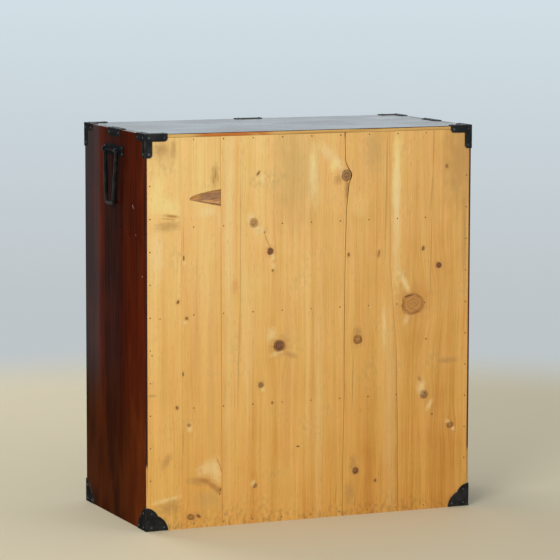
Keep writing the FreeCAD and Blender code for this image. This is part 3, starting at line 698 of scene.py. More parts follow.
@dataclass(frozen=True)
class LipFinish(Finish):
    """A bare pine edge with lacquer that ran over from the face beside it."""

    axis: Axis
    edge: Axis
    edge_at: float
    run: float
    stain: Spot = (0.0, 0.0)
    covered: Spot = (9.0, 9.0)
    bare: Colour = tone(232, 186, 110)
    dark: Colour = tone(202, 152, 80)
    stained: Colour = tone(204, 118, 46)
    lacquer: Colour = tone(50, 14, 10)

    def paint(self, net: Net) -> Inputs:
        """Draws bare grain, a stained stretch, and lacquer near the edge.

        Args:
            net: The material's tree.

        Returns:
            What its shader's inputs take.
        """
        place = own_place(net)
        along = net.split(place)[self.axis.value]
        grain = streaks(net, place, self.axis, 420.0, 9.0, 2.0)
        patch = streaks(net, place, self.axis, 60.0, 16.0, 8.0)
        colour = net.mix(net.fade(grain, 0.35, 0.65), self.dark, self.bare)
        start, end = self.stain
        stretch = net.times(net.fade(along, start - 25 * MM, start + 10 * MM),
                            net.fade(along, end + 10 * MM, end - 25 * MM))
        stretch = net.times(stretch, net.fade(patch, 0.2, 0.5))
        colour = net.mix(stretch, colour, self.stained)
        over = net.fade(net.plus(along, net.swing(patch, 90 * MM)), *self.covered)
        colour = net.mix(over, colour, self.lacquer)
        away = net.maths("ABSOLUTE", net.split(place)[self.edge.value])
        inward = net.maths("ABSOLUTE", net.minus(away, self.edge_at))
        cover = net.maths("LESS_THAN", inward, net.scaled(patch, self.run * 1.6, self.run * 0.2))
        return {"Base Color": net.mix(cover, colour, self.lacquer),
                "Roughness": net.fade(cover, 0.0, 1.0, 0.6, 0.35),
                "Specular IOR Level": 0.3,
                "Normal": net.bump(grain, 0.2, 0.2 * MM)}


@dataclass(frozen=True)
class LacquerFinish(Finish):
    """Thin red-brown lacquer over straight grain, rubbed through along the edges."""

    axis: Axis
    seed: float
    lightness: float = 0.46
    bands: tuple[Spot, ...] = ()
    marks: tuple[Mark, ...] = ()
    roughness: float = 0.3
    specular: float = 0.16
    coat: float = 0.2
    wear: float = 0.6
    black: Colour = tone(28, 13, 9)
    deep: Colour = tone(52, 20, 12)
    red: Colour = tone(78, 26, 10)
    bright: Colour = tone(100, 34, 10)
    worn: Colour = tone(136, 76, 36)

    def paint(self, net: Net) -> Inputs:
        """Draws bands and streaks along the grain, then marks, then wear on the arrises.

        Args:
            net: The material's tree.

        Returns:
            What its shader's inputs take.
        """
        place = own_place(net)
        grain = partial(streaks, net, place, self.axis)
        fine = grain(620.0, 22.0, self.seed)
        medium = grain(150.0, 6.0, self.seed + 1.0)
        wide = grain(42.0, 2.4, self.seed + 2.0, 2.0)
        cloud = net.noise(place, 11.0, 3.0)
        value = net.total(self.lightness, (fine, 0.5), (medium, 0.7), (wide, 0.36), (cloud, 0.34))
        if self.bands:
            value = net.plus(value, self.band_shift(net, place))
        colour = net.ramp(value, (0.08, self.black), (0.35, self.deep), (0.6, self.red), (0.9, self.bright))
        colour = self.weathered(net, place, colour)
        if self.marks:
            _, y, z = net.split(place)
            colour = paint_marks(net, colour, net.join(y, 0.0, z), self.marks)
        rubbed = net.fade(net.noise(place, 38.0, 5.0), 0.47, 0.66, 0.06, 1.0)
        rubbed = net.times(net.times(wear_of(net), rubbed), self.wear)
        smear = net.total(self.roughness, (cloud, 0.3), (medium, 0.16))
        ripple = net.total(0.5, (fine, 0.35), (medium, 0.8))
        return {"Base Color": net.mix(rubbed, colour, self.worn),
                "Roughness": net.maths("MAXIMUM", smear, 0.12),
                "Specular IOR Level": self.specular,
                "Coat Weight": self.coat_weight(net, place),
                "Coat Roughness": 0.13,
                "Normal": net.bump(ripple, 0.16, 0.3 * MM)}

    def coat_weight(self, net: Net, place: Value) -> Value:
        """How much clear lacquer is left."""
        return self.coat

    def weathered(self, net: Net, place: Value, colour: Value) -> Value:
        """The colour after years of light and damp."""
        return colour

    def band_shift(self, net: Net, place: Value) -> Value:
        """How much lighter or darker each band is.

        Args:
            net: The tree.
            place: The place, whose Y runs across the board.

        Returns:
            The change, about zero.
        """
        wobble = streaks(net, place, self.axis, 20.0, 3.0, self.seed, 2.0)
        across = net.plus(net.split(place)[1], net.swing(wobble, 16 * MM))
        low, high = self.bands[0][0], self.bands[-1][0]
        share = net.maths("DIVIDE", net.minus(across, low), high - low)
        stops = [((at - low) / (high - low), (0.5 + shift,) * 3 + (1.0,)) for at, shift in self.bands]
        return net.minus(net.ramp(share, *stops), 0.5)


@dataclass(frozen=True)
class RubbedLacquerFinish(LacquerFinish):
    """Lacquer whose gloss is left in a band towards the front, above the foot of the side."""

    gloss: tuple[float, float, float] = (0.24, 0.055, 0.015)
    mud: tuple[Colour, Colour] = (tone(56, 31, 17), tone(112, 54, 22))

    def coat_weight(self, net: Net, place: Value) -> Value:
        """Glossy towards the front, and dull lower down and behind.

        Args:
            net: The tree.
            place: The place on the side.

        Returns:
            The weight of the clear coat.
        """
        _, y, z = net.split(place)
        front, middle, rear = self.gloss
        band = net.plus(net.fade(y, -66 * MM, -84 * MM, middle, front),
                        net.fade(y, 0.0, 40 * MM, 0.0, rear - middle))
        return net.times(band, net.fade(z, 0.15, 0.3, 0.08, 1.0))

    def weathered(self, net: Net, place: Value, colour: Value) -> Value:
        """Dull brown towards the foot, and clouded all over.

        Args:
            net: The tree.
            place: The place on the side.
            colour: The colour of the fresh lacquer.

        Returns:
            The weathered colour.
        """
        _, y, z = net.split(place)
        cloud = net.noise(place, (1.0, 26.0, 9.0), 4.0)
        patches = net.fade(cloud, 0.38, 0.64, -0.2, 0.2)
        muddy = net.mix(net.plus(net.fade(y, 0.02, 0.13, 0.1, 0.8), patches), *self.mud)
        share = net.scaled(net.fade(z, 0.36, 0.02), 0.66, net.fade(cloud, 0.45, 0.7, 0.0, 0.22))
        return net.mix(share, colour, muddy)


@dataclass(frozen=True)
class SoftwoodFinish(Finish):
    """Plain bare softwood inside the case and the drawers."""

    axis: Axis
    seed: float
    light: Colour = tone(226, 190, 138)
    dark: Colour = tone(188, 144, 90)

    def paint(self, net: Net) -> Inputs:
        """Draws two widths of grain with a little unevenness.

        Args:
            net: The material's tree.

        Returns:
            What its shader's inputs take.
        """
        place = own_place(net)
        fine = streaks(net, place, self.axis, 520.0, 9.0, self.seed)
        wide = streaks(net, place, self.axis, 75.0, 1.8, self.seed + 2.0, 2.0)
        value = net.total(0.5, (fine, 0.5), (wide, 0.9), (net.noise(place, 17.0, 3.0), 0.4))
        return {"Base Color": net.ramp(value, (0.15, self.dark), (0.85, self.light)),
                "Roughness": net.total(0.62, (wide, 0.15)),
                "Specular IOR Level": 0.35,
                "Normal": net.bump(fine, 0.2, 0.2 * MM)}


@dataclass(frozen=True)
class IronFinish(Finish):
    """Blackened iron, satin, hammered, and polished by hands along its edges; a pale worn colour on the
    edges also paints glints.
    """

    roughness: float = 0.48
    hammer: float = 0.5
    metal: float = 0.35
    specular: float = 0.3
    black: Colour = tone(20, 20, 21)
    grey: Colour = tone(44, 43, 42)
    worn: Colour = tone(98, 95, 90)
    rust: Colour = tone(58, 36, 24)

    def paint(self, net: Net) -> Inputs:
        """Draws uneven black with traces of rust, shallow hammer marks and worn edges.

        Args:
            net: The material's tree.

        Returns:
            What its shader's inputs take.
        """
        place = own_place(net)
        cloud = net.noise(place, 75.0, 4.0)
        grit = net.noise(place, 900.0, 3.0)
        rusty = net.fade(net.noise(place, 130.0, 5.0), 0.58, 0.74, 0.0, 0.55)
        colour = net.mix(net.fade(cloud, 0.36, 0.66), self.black, self.grey)
        colour = net.mix(rusty, colour, self.rust)
        # The edges take the worn colour: wear, and where that colour is pale, painted glints as well.
        rubbed = net.times(wear_of(net), net.fade(cloud, 0.34, 0.62, 0.15, 0.85))
        dimple = net.node("ShaderNodeTexVoronoi", {"Vector": place, "Scale": 210.0}, feature="SMOOTH_F1")
        relief = net.total(dimple.outputs["Distance"], (grit, 0.18), (cloud, 0.3))
        return {"Base Color": net.mix(rubbed, colour, self.worn),
                "Roughness": net.total(self.roughness, (cloud, 0.28), (grit, 0.12)),
                "Metallic": self.metal,
                "Specular IOR Level": self.specular,
                "Normal": net.bump(relief, self.hammer, 0.35 * MM)}


@dataclass(frozen=True)
class FloorFinish(Finish):
    """A plain pale floor that fades into the backdrop at its rim."""

    colour: Colour = tone(222, 210, 180)
    fade_start: float = 1.3
    fade_end: float = 2.0

    def paint(self, net: Net) -> Inputs:
        """Lays one matt colour, clear beyond the rim.

        Args:
            net: The material's tree.

        Returns:
            What its shader's inputs take.
        """
        distance = net.vector("LENGTH", own_place(net))
        return {"Base Color": self.colour, "Roughness": 0.75, "Specular IOR Level": 0.2,
                "Alpha": net.fade(distance, self.fade_end, self.fade_start)}


# The pale worn colour on these irons' edges is wear and painted glints.
BLACK_IRON = IronFinish("iron_black", worn=tone(136, 134, 130))
SIDE_IRON = IronFinish("iron_side", 0.8, metal=0.0, specular=0.03, grey=tone(34, 34, 34),
                       worn=tone(54, 52, 49), rust=tone(38, 27, 22))
DULL_IRON = IronFinish("iron_dull", 0.8, metal=0.0, specular=0.04, grey=tone(32, 32, 32),
                       worn=tone(44, 43, 41), rust=tone(36, 26, 21))
HANDLE_IRON = IronFinish("iron_handle", 0.5, 0.35, 0.15, 0.12, grey=tone(44, 46, 44))
NAIL_IRON = IronFinish("iron_nail", 0.28, 0.12, 0.7, 0.5, tone(60, 60, 61), tone(104, 104, 104))
BACK_NAIL_IRON = IronFinish("iron_back_nail", 0.7, 0.2, black=tone(118, 84, 48),
                            grey=tone(150, 110, 62), rust=tone(132, 86, 42))
LINING_X = SoftwoodFinish("lining_along_x", Axis.X, 3.0)
LINING_Y = SoftwoodFinish("lining_along_y", Axis.Y, 5.0, tone(230, 200, 152), tone(200, 162, 110))
LINING_Z = SoftwoodFinish("lining_along_z", Axis.Z, 7.0)


# ---------- meshes


def plain_bm() -> BMesh:
    """An empty mesh with a place for wear on its faces."""
    bm = bmesh.new()
    bm.faces.layers.float.new(WEAR)
    return bm


def flattened(bm: BMesh) -> BMesh:
    """Merges a mesh's doubles and joins the triangles of each flat face.

    Args:
        bm: The mesh, which is changed.

    Returns:
        The same mesh.
    """
    bmesh.ops.remove_doubles(bm, verts=bm.verts, dist=0.005 * MM)
    bmesh.ops.dissolve_limit(bm, angle_limit=math.radians(0.6), verts=bm.verts, edges=bm.edges,
                             delimit={"NORMAL"})
    return bm


def cad_bm(node: str) -> BMesh:
    """A merged copy of a node's mesh."""
    bm = plain_bm()
    bm.from_mesh(bpy.data.objects[node].data)
    return flattened(bm)


def root(parents: Sequence[int], index: int) -> int:
    """The first of a chain of parents."""
    while parents[index] != index:
        index = parents[index]
    return index


def solids(node: str) -> list[BMesh]:
    """Splits a node into its solids, also where two of them touch.

    The triangles of a solid follow one another, so those that share an edge are paired in order.

    Args:
        node: The node's name.

    Returns:
        A merged mesh for each solid.
    """
    mesh = bpy.data.objects[node].data
    spots = [tuple(round(part / MM, 3) for part in vert.co) for vert in mesh.vertices]
    users: dict[frozenset, list[int]] = {}
    for face in mesh.polygons:
        ring = [spots[index] for index in face.vertices]
        for pair in zip(ring, ring[1:] + ring[:1]):
            users.setdefault(frozenset(pair), []).append(face.index)
    parents = list(range(len(mesh.polygons)))
    for faces in users.values():
        for first, second in zip(faces[::2], faces[1::2]):
            parents[root(parents, second)] = root(parents, first)
    owners = [root(parents, index) for index in parents]
    found = []
    for owner in sorted(set(owners)):
        bm = plain_bm()
        bm.from_mesh(mesh)
        bm.faces.ensure_lookup_table()
        others = [face for face in bm.faces if owners[face.index] != owner]
        bmesh.ops.delete(bm, geom=others, context="FACES")
        found.append(flattened(bm))
    return found


def islands(node: str) -> list[np.ndarray]:
    """The separate solids of a node.

    Args:
        node: The node's name.

    Returns:
        The corner points of each solid, one array for each.
    """
    bm = bmesh.new()
    bm.from_mesh(bpy.data.objects[node].data)
    bmesh.ops.remove_doubles(bm, verts=bm.verts, dist=0.005 * MM)
    left = set(bm.verts)
    found = []
    while left:
        reached = [left.pop()]
        for vert in reached:
            for edge in vert.link_edges:
                other = edge.other_vert(vert)
                if other in left:
                    left.remove(other)
                    reached.append(other)
        found.append(np.array([vert.co[:] for vert in reached]))
    bm.free()
    return sorted(found, key=lambda points: tuple(points.mean(0).round(5)))


def boxes(node: str) -> list[tuple[np.ndarray, np.ndarray]]:
    """The lowest and highest corner of each separate solid of a node."""
    return [(points.min(0), points.max(0)) for points in islands(node)]


def outward(bm: BMesh) -> None:
    """Turns the faces of closed shells outwards."""
    bmesh.ops.recalc_face_normals(bm, faces=bm.faces)


def sharp_edges(bm: BMesh, degrees: float = 35.0) -> list[Edge]:
    """The edges where a mesh turns outwards by more than an angle."""
    return [edge for edge in bm.edges
            if len(edge.link_faces) == 2 and edge.calc_face_angle_signed() > math.radians(degrees)]


def soften(bm: BMesh, edges: Sequence[Edge], width: float, segments: int = 2) -> None:
    """Rounds edges and marks the new faces as worn.

    Args:
        bm: The mesh.
        edges: The edges to round.
        width: Their rounding in metres.
        segments: Faces across each rounding.
    """
    layer = bm.faces.layers.float[WEAR]
    made = bmesh.ops.bevel(bm, geom=list(edges), offset=width, segments=segments, profile=0.5,
                           affect="EDGES", clamp_overlap=True)
    for face in made["faces"]:
        face[layer] = 1.0


def gridded(bm: BMesh, pitch: float) -> None:
    """Cuts a mesh along planes a pitch apart, so that it can be shaped.

    Args:
        bm: The mesh.
        pitch: Spacing of the planes across each axis.
    """
    for axis in range(3):
        places = [vert.co[axis] for vert in bm.verts]
        low, high = min(places), max(places)
        for step in range(1, int((high - low) / pitch) + 1):
            at, out = Vector(), Vector()
            at[axis], out[axis] = low + step * pitch, 1.0
            everything = [*bm.verts, *bm.edges, *bm.faces]
            bmesh.ops.bisect_plane(bm, geom=everything, dist=0.01 * MM, plane_co=at, plane_no=out)


def hammered(bm: BMesh, depth: float, size: float, seed: float) -> None:
    """Leaves shallow hammer marks: moves points along their normals by smooth noise.

    Args:
        bm: The mesh.
        depth, size: Depth and size of a mark.
        seed: Moves the pattern.
    """
    bm.normal_update()
    shift = Vector((seed, 0, 0))
    moves = [vert.normal * (noise.noise(vert.co / size + shift) * depth) for vert in bm.verts]
    for vert, move in zip(bm.verts, moves):
        vert.co += move


def swept(bm: BMesh, path: np.ndarray, across: Sequence[float], half: np.ndarray,
          closed: bool = False, sides: int = 14, square: float = 2.4) -> None:
    """Adds a forged rod along a flat path.

    Args:
        bm: The mesh it is added to.
        path: The middle line's points.
        across: The direction across the path's plane.
        half: The rod's half thickness at each point, in the plane and across it.
        closed: Whether the path is a loop.
        sides: Faces round the rod.
        square: 2 makes a round section, and more a squarer one.
    """
    normal = np.array(across, float)
    turns = np.arange(sides) * 2 * math.pi / sides
    cosine, sine = np.cos(turns), np.sin(turns)
    grow = (np.abs(cosine) ** square + np.abs(sine) ** square) ** (-1 / square)
    ahead = np.roll(path, -1, 0) - np.roll(path, 1, 0)
    if not closed:
        ahead[0], ahead[-1] = path[1] - path[0], path[-1] - path[-2]
    ahead /= np.linalg.norm(ahead, axis=1)[:, None]
    rings = []
    for point, way, (in_plane, over) in zip(path, ahead, half):
        side = np.cross(way, normal)
        rings.append([bm.verts.new(point + side * (c * g * in_plane) + normal * (s * g * over))
                      for c, s, g in zip(cosine, sine, grow)])
    pairs = list(zip(rings, rings[1:])) + ([(rings[-1], rings[0])] if closed else [])
    for first, second in pairs:
        for index in range(sides):
            after = (index + 1) % sides
            bm.faces.new((first[index], first[after], second[after], second[index]))
    if not closed:
        bm.faces.new(rings[0])
        bm.faces.new(reversed(rings[-1]))


def turned(bm: BMesh, at: Sequence[float], out: Sequence[float], outline: Sequence[Spot],
           sides: int = 32) -> None:
    """Adds a turned piece.

    Args:
        bm: The mesh it is added to.
        at: Where its axis starts.
        out: The direction of the axis.
        outline: Radius and height of each ring in millimetres, from the bottom to the top.
        sides: Faces round it.
    """
    frame = Vector(out).to_track_quat("Z", "Y").to_matrix().to_4x4()
    frame.translation = Vector(at)
    rings = []
    for radius, height in outline:
        angles = [2 * math.pi * index / sides for index in range(sides if radius > 0 else 1)]
        spots = [Vector((radius * math.cos(a), radius * math.sin(a), height)) * MM for a in angles]
        rings.append([bm.verts.new(frame @ spot) for spot in spots])
    for low, high in zip(rings, rings[1:]):
        for index in range(sides):
            after = (index + 1) % sides
            around = [low[index % len(low)], low[after % len(low)],
                      high[after % len(high)], high[index % len(high)]]
            bm.faces.new(list(dict.fromkeys(around)))


def rod_outline(radius: float, length: float) -> list[Spot]:
    """The outline of a plain rod with flat ends, in millimetres."""
    return [(0.0, 0.0), (radius, 0.0), (radius, length), (0.0, length)]


def circle(middle: Sequence[float], radius: float, axis: Axis, count: int) -> np.ndarray:
    """Points round a circle.

    Args:
        middle: Its middle.
        radius: Its radius.
        axis: The axis it goes round, X or Y.
        count: How many points.

    Returns:
        The points.
    """
    turns = np.linspace(0, 2 * math.pi, count, endpoint=False)
    points = np.tile(np.array(middle, float), (count, 1))
    points[:, 1 - axis.value] += radius * np.cos(turns)
    points[:, 2] += radius * np.sin(turns)
    return points


@dataclass(frozen=True)
class EyeBolt:
    """An eye on a shank driven in from the front, with a rose under it."""

    radius: float
    thick: float
    wide: float
    shank: float
    gap: float
    rose: tuple[Spot, ...]
    rose_sides: int = 32
    seat: float = 0.0
    depth: float = 12.0 * MM
    points: int = 24
    sides: int = 12
    square: float = 3.6
    shank_sides: int = 16

    def forge(self, bm: BMesh, at: Sequence[float], front: float) -> None:
        """Adds the bolt.

        Args:
            bm: The mesh it is added to.
            at: The middle of its eye.
            front: Y of the front it is driven into.
        """
        x, y, z = at
        inner = front + self.depth
        line = circle(at, self.radius, Axis.X, self.points)
        half = np.tile([self.thick, self.wide], (self.points, 1))
        swept(bm, line, (1.0, 0.0, 0.0), half, True, self.sides, self.square)
        shank = rod_outline(self.shank, (inner - y - self.gap) / MM)
        turned(bm, (x, inner, z), (0, -1, 0), shank, self.shank_sides)
        turned(bm, (x, front - self.seat, z), (0, -1, 0), self.rose, self.rose_sides)


def block(bm: BMesh, middle: Sequence[float], size: Sequence[float]) -> None:
    """Adds a block."""
    matrix = Matrix.Translation(Vector(middle)) @ Matrix.Diagonal((*size, 1.0))
    bmesh.ops.create_cube(bm, size=1.0, matrix=matrix)


def rounded_line(points: Sequence[Sequence[float]], radius: float, steps: int = 8,
                 pitch: float = 4 * MM) -> np.ndarray:
    """A line through points with its inner corners rounded, sampled finely.

    Args:
        points: The corners.
        radius: Rounding of each inner corner.
        steps: Samples in each rounding.
        pitch: Spacing of the samples on the straight runs.

    Returns:
        The sampled points.
    """
    corners = [np.array(point, float) for point in points]
    line = [corners[0]]
    for before, corner, after in zip(corners, corners[1:], corners[2:]):
        back = (before - corner) / np.linalg.norm(before - corner)
        on = (after - corner) / np.linalg.norm(after - corner)
        half_turn = (math.pi - math.acos(float(back @ on))) / 2
        reach = min(radius * math.tan(half_turn), 0.45 * np.linalg.norm(before - corner))
        start, end = corner + back * reach, corner + on * reach
        for share in np.linspace(0.0, 1.0, steps + 1):
            line.append((1 - share) ** 2 * start + 2 * share * (1 - share) * corner + share ** 2 * end)
    line.append(corners[-1])
    dense = [line[0]]
    for first, second in zip(line, line[1:]):
        count = max(1, round(float(np.linalg.norm(second - first)) / pitch))
        dense += [first + (second - first) * (step + 1) / count for step in range(count)]
    return np.array(dense)


# ---------- tacks and nails


@dataclass
class Studs:
    """The node tree that puts domed heads of tacks and nails on points."""

    sides: int = 14
    rings: int = 8
    turn: float = 0.09
    spread: float = 0.12

    def tree(self) -> bpy.types.NodeTree:
        """The tree: a dome on each point, facing outwards, a little uneven.

        Returns:
            The tree, made the first time it is asked for.
        """
        found = bpy.data.node_groups.get("studs")
        if found:
            return found
        tree = bpy.data.node_groups.new("studs", "GeometryNodeTree")
        for name, kind in (("Points", "Geometry"), ("Head Radius", "Float"), ("Dome Height", "Float"),
                           ("Seed", "Int"), ("Finish", "Material")):
            tree.interface.new_socket(name, in_out="INPUT", socket_type="NodeSocket" + kind)
        tree.interface.new_socket("Heads", in_out="OUTPUT", socket_type="NodeSocketGeometry")
        net = Net(tree)
        given = net.node("NodeGroupInput").outputs
        size = net.node("FunctionNodeRandomValue", {2: 1.0 - self.spread, 3: 1.0, "Seed": given["Seed"]},
                        data_type="FLOAT").outputs[1]
        radius = net.times(given["Head Radius"], size)
        height = net.times(given["Dome Height"], size)
        placed = net.node("GeometryNodeInstanceOnPoints", {
            "Points": given["Points"], "Instance": self.dome(net),
            "Rotation": self.facing(net, given["Seed"]), "Scale": net.join(radius, radius, height)})
        real = net.node("GeometryNodeRealizeInstances", {0: placed.outputs[0]})
        smooth = net.node("GeometryNodeSetShadeSmooth", {0: real.outputs[0]})
        inputs = {"Geometry": smooth.outputs[0], "Material": given["Finish"]}
        net.node("NodeGroupOutput", {0: net.node("GeometryNodeSetMaterial", inputs).outputs[0]})
        return tree

    def dome(self, net: Net) -> Socket:
        """A ball one unit in radius whose lower half is pressed flat.

        Args:
            net: The tree.

        Returns:
            The dome.
        """
        inputs = {"Segments": self.sides, "Rings": self.rings, "Radius": 1.0}
        ball = net.node("GeometryNodeMeshUVSphere", inputs).outputs["Mesh"]
        x, y, z = net.split(net.node("GeometryNodeInputPosition").outputs[0])
        inputs = {"Geometry": ball, "Position": net.join(x, y, net.maths("MAXIMUM", z, 0.0))}
        return net.node("GeometryNodeSetPosition", inputs).outputs[0]

    def facing(self, net: Net, seed: Socket) -> Socket:
        """The way each head looks, turned at random and a little askew.

        Args:
            net: The tree.
            seed: The seed of the random turns.

        Returns:
            The rotation of each head.
        """
        out = net.node("GeometryNodeInputNamedAttribute", {"Name": FACING}, data_type="FLOAT_VECTOR")
        align = net.node("FunctionNodeAlignRotationToVector", {"Vector": out.outputs[0]}, axis="Z")
        inputs = {0: (-self.turn, -self.turn, -math.pi), 1: (self.turn, self.turn, math.pi), "Seed": seed}
        tilt = net.node("FunctionNodeRandomValue", inputs, data_type="FLOAT_VECTOR")
        turn = net.node("FunctionNodeEulerToRotation", {0: tilt.outputs[0]})
        inputs = {0: align.outputs[0], 1: turn.outputs[0]}
        return net.node("FunctionNodeRotateRotation", inputs, rotation_space="LOCAL").outputs[0]


def nail_heads(node: str, dome: float) -> list[tuple[Vector, Vector]]:
    """Where a node's nails end.

    Args:
        node: A node of domed nails, each driven along an axis.
        dome: The height of their heads.

    Returns:
        The middle of each head's underside, and the way it faces.
    """
    spots = []
    for points in islands(node):
        low, high = points.min(0), points.max(0)
        middle = (low + high) / 2
        axis = int(np.argmax(high - low))
        from_axis = np.linalg.norm(np.delete(points - middle, axis, 1), axis=1)
        widest = points[from_axis > from_axis.max() * 0.98][:, axis].mean()
        way = 1.0 if widest > middle[axis] else -1.0
        at, out = middle.copy(), np.zeros(3)
        at[axis] = (high if way > 0 else low)[axis] - way * dome
        out[axis] = way
        spots.append((Vector(at), Vector(out)))
    return spots


# ---------- pieces


def lacquered_front(face: Face) -> int:
    """0 for a face that looks forward, and 1 for any other."""
    return 0 if face.normal.y < -0.25 else 1


def crosswise(face: Face) -> int:
    """1 for a face that looks forward or back, and 0 for any other."""
    return int(abs(face.normal.y) > 0.7)


def as_mesh(bm: BMesh, name: str) -> bpy.types.Mesh:
    """Writes a mesh out and uses it up.

    Args:
        bm: The mesh being built.
        name: The finished mesh's name.

    Returns:
        The finished mesh.
    """
    mesh = bpy.data.meshes.new(name)
    bm.to_mesh(mesh)
    bm.free()
    return mesh


def in_scene(name: str, data: bpy.types.ID | None) -> bpy.types.Object:
    """A new object in the scene.

    Args:
        name: Its name.
        data: Its mesh, lamp or camera.

    Returns:
        The object.
    """
    made = bpy.data.objects.new(name, data)
    bpy.context.scene.collection.objects.link(made)
    return made


@dataclass
class Bench:
    """Turns meshes into finished pieces that ride on the frame's bodies."""

    made: int = 0

    def piece(self, name: str, bm: BMesh, body: str, slot: str, finishes: Sequence[Finish],
              replaces: Sequence[str], smooth: float = 40.0, weighted: bool = True) -> None:
        """Makes a piece from a mesh.

        Args:
            name: The piece's name.
            bm: Its mesh, in place; it is used up.
            body: The body it rides on.
            slot: A slot name, passed on to seat.
            finishes: A finish for each material index of the mesh.
            replaces: The nodes it stands for.
            smooth: Edges flatter than this many degrees are shaded smooth.
            weighted: Whether large faces keep their own normals.
        """
        bm.normal_update()
        mesh = as_mesh(bm, name)
        old = mesh.attributes.get("custom_normal")
        if old:
            mesh.attributes.remove(old)
        mesh.shade_smooth()
        mesh.set_sharp_from_angle(angle=math.radians(smooth))
        made = in_scene(name, mesh)
        for finish in finishes:
            mesh.materials.append(finish.material())
        if weighted:
            made.modifiers.new("flat faces", "WEIGHTED_NORMAL").keep_sharp = True
            self.settle(made)
        self.seat(made, body, slot, replaces)

    def forged(self, node: str, bm: BMesh, body: str, *irons: Finish) -> None:
        """Makes an iron piece that stands for a node."""
        self.piece(f"{node}_forged", bm, body, "black_iron", irons, [node])

    def sheet(self, node: str, body: str, arris: float = 0.35 * MM, depth: float = 0.1 * MM) -> None:
        """Makes a hammered piece of sheet iron from its node.

        Args:
            node: The node it stands for.
            body: The body it rides on.
            arris: Rounding of its edges.
            depth: Depth of a hammer mark.
        """
        bm = cad_bm(node)
        soften(bm, sharp_edges(bm, 50.0), arris)
        gridded(bm, 3.2 * MM)
        for face in bm.faces:
            face.material_index = int(abs(face.normal.x) > 0.7)
        hammered(bm, depth, 5 * MM, 3.0)
        self.forged(node, bm, body, BLACK_IRON, SIDE_IRON)

    def wood(self, node: str, body: str, finishes: Sequence[Finish], slot: str = "drawer_lining",
             arris: float = 0.5 * MM, chooser: Callable[[Face], int] | None = None) -> None:
        """Makes a wooden piece from its node.

        Args:
            node: The node it stands for.
            body: The body it rides on.
            finishes: Its finishes.
            slot: A slot name, passed on to piece.
            arris: Rounding of its edges.
            chooser: Gives the index of a face's finish.
        """
        whole = plain_bm()
        for bm in solids(node):
            soften(bm, sharp_edges(bm), arris)
            part = as_mesh(bm, node)
            whole.from_mesh(part)
            bpy.data.meshes.remove(part)
        if chooser:
            for face in whole.faces:
                face.material_index = chooser(face)
        self.piece(f"{node}_wood", whole, body, slot, finishes, [node])

    def lacquered(self, node: str, body: str, seed: float, lightness: float = 0.5) -> None:
        """Makes a panel with a lacquered front and bare wood behind; its seed moves the grain."""
        face = LacquerFinish(f"lacquer_{body}", Axis.X, seed, lightness)
        self.wood(node, body, [face, LINING_X], "red_lacquer", 0.8 * MM, lacquered_front)

    def heads(self, name: str, spots: Sequence[tuple[Vector, Vector]], body: str, finish: Finish,
              radius: float, dome: float, replaces: Sequence[str] = ()) -> None:
        """Puts the head of a tack or nail on each spot and makes them one piece.

        Args:
            name: The piece's name.
            spots: The middle of each head's underside, and the direction it faces.
            body: The body they ride on.
            finish: Their finish.
            radius, dome: Size of a head.
            replaces: The nodes they stand for.
        """
        mesh = bpy.data.meshes.new(name)
        mesh.from_pydata([tuple(at) for at, _ in spots], [], [])
        facing = mesh.attributes.new(FACING, "FLOAT_VECTOR", "POINT")
        facing.data.foreach_set("vector", [value for _, out in spots for value in out])
        made = in_scene(name, mesh)
        modifier = made.modifiers.new("studs", "NODES")
        modifier.node_group = Studs().tree()
        keys = {item.name: item.identifier for item in modifier.node_group.interface.items_tree
                if item.in_out == "INPUT"}
        for key, value in (("Head Radius", radius), ("Dome Height", dome), ("Seed", len(spots)),
                           ("Finish", finish.material())):
            modifier[keys[key]] = value
        made.update_tag()
        self.settle(made)
        bm = bmesh.new()
        bm.from_mesh(made.data)
        bmesh.ops.remove_doubles(bm, verts=bm.verts, dist=0.002 * MM)
        bm.to_mesh(made.data)
        bm.free()
        self.seat(made, body, "nail_iron", replaces)

    def settle(self, made: bpy.types.Object) -> None:
        """Turns a piece's modifiers into plain mesh and removes them.

        Args:
            made: The piece.
        """
        graph = bpy.context.evaluated_depsgraph_get()
        mesh = bpy.data.meshes.new_from_object(made.evaluated_get(graph))
        made.modifiers.clear()
        made.data = mesh

    def seat(self, made: bpy.types.Object, body: str, slot: str, replaces: Sequence[str]) -> None:
        """Rides a finished piece on its body and hides what it stands for.

        Args:
            made: The piece.
            body: The body it rides on.
            slot: Not used.
            replaces: The nodes it stands for.
        """
        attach(made, body)
        if replaces:
            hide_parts(*replaces)
        self.made += 1
        LOG.info("%s on %s: %d faces", made.name, body, len(made.data.polygons))


@dataclass
class Assembly:
    """A part of the chest that is made on a bench."""

    bench: Bench


# ---------- back of the chest


@dataclass(frozen=True)
class Seam:
    """A joint between two planks: places down it and how wide it gapes there, in mm."""

    line: tuple[tuple[float, float, float], ...]

    def edge(self, heights: np.ndarray, side: float) -> np.ndarray:
        """The edge of the plank on one side of the joint.

        Args:
            heights: Heights in metres.
            side: 1 for the plank towards +X, -1 for the other.

        Returns:
            The edge's x at each height, in metres.
        """
        points = np.array(sorted(self.line, key=lambda point: point[1]))
        middle, gap = (np.interp(heights / MM, points[:, 1], points[:, part]) for part in (0, 2))
        soft = np.array([1.0, 2.0, 3.0, 2.0, 1.0]) / 9
        padded = np.pad(middle, 2, mode="edge")
        return (np.convolve(padded, soft, "valid") + side * gap / 2) * MM


def straight_seam(top: float, bottom: float, gap: float) -> Seam:
    """A straight joint from its place at the top to its place on the floor."""
    return Seam(((top, 667.0, gap), (bottom, 0.0, gap)))


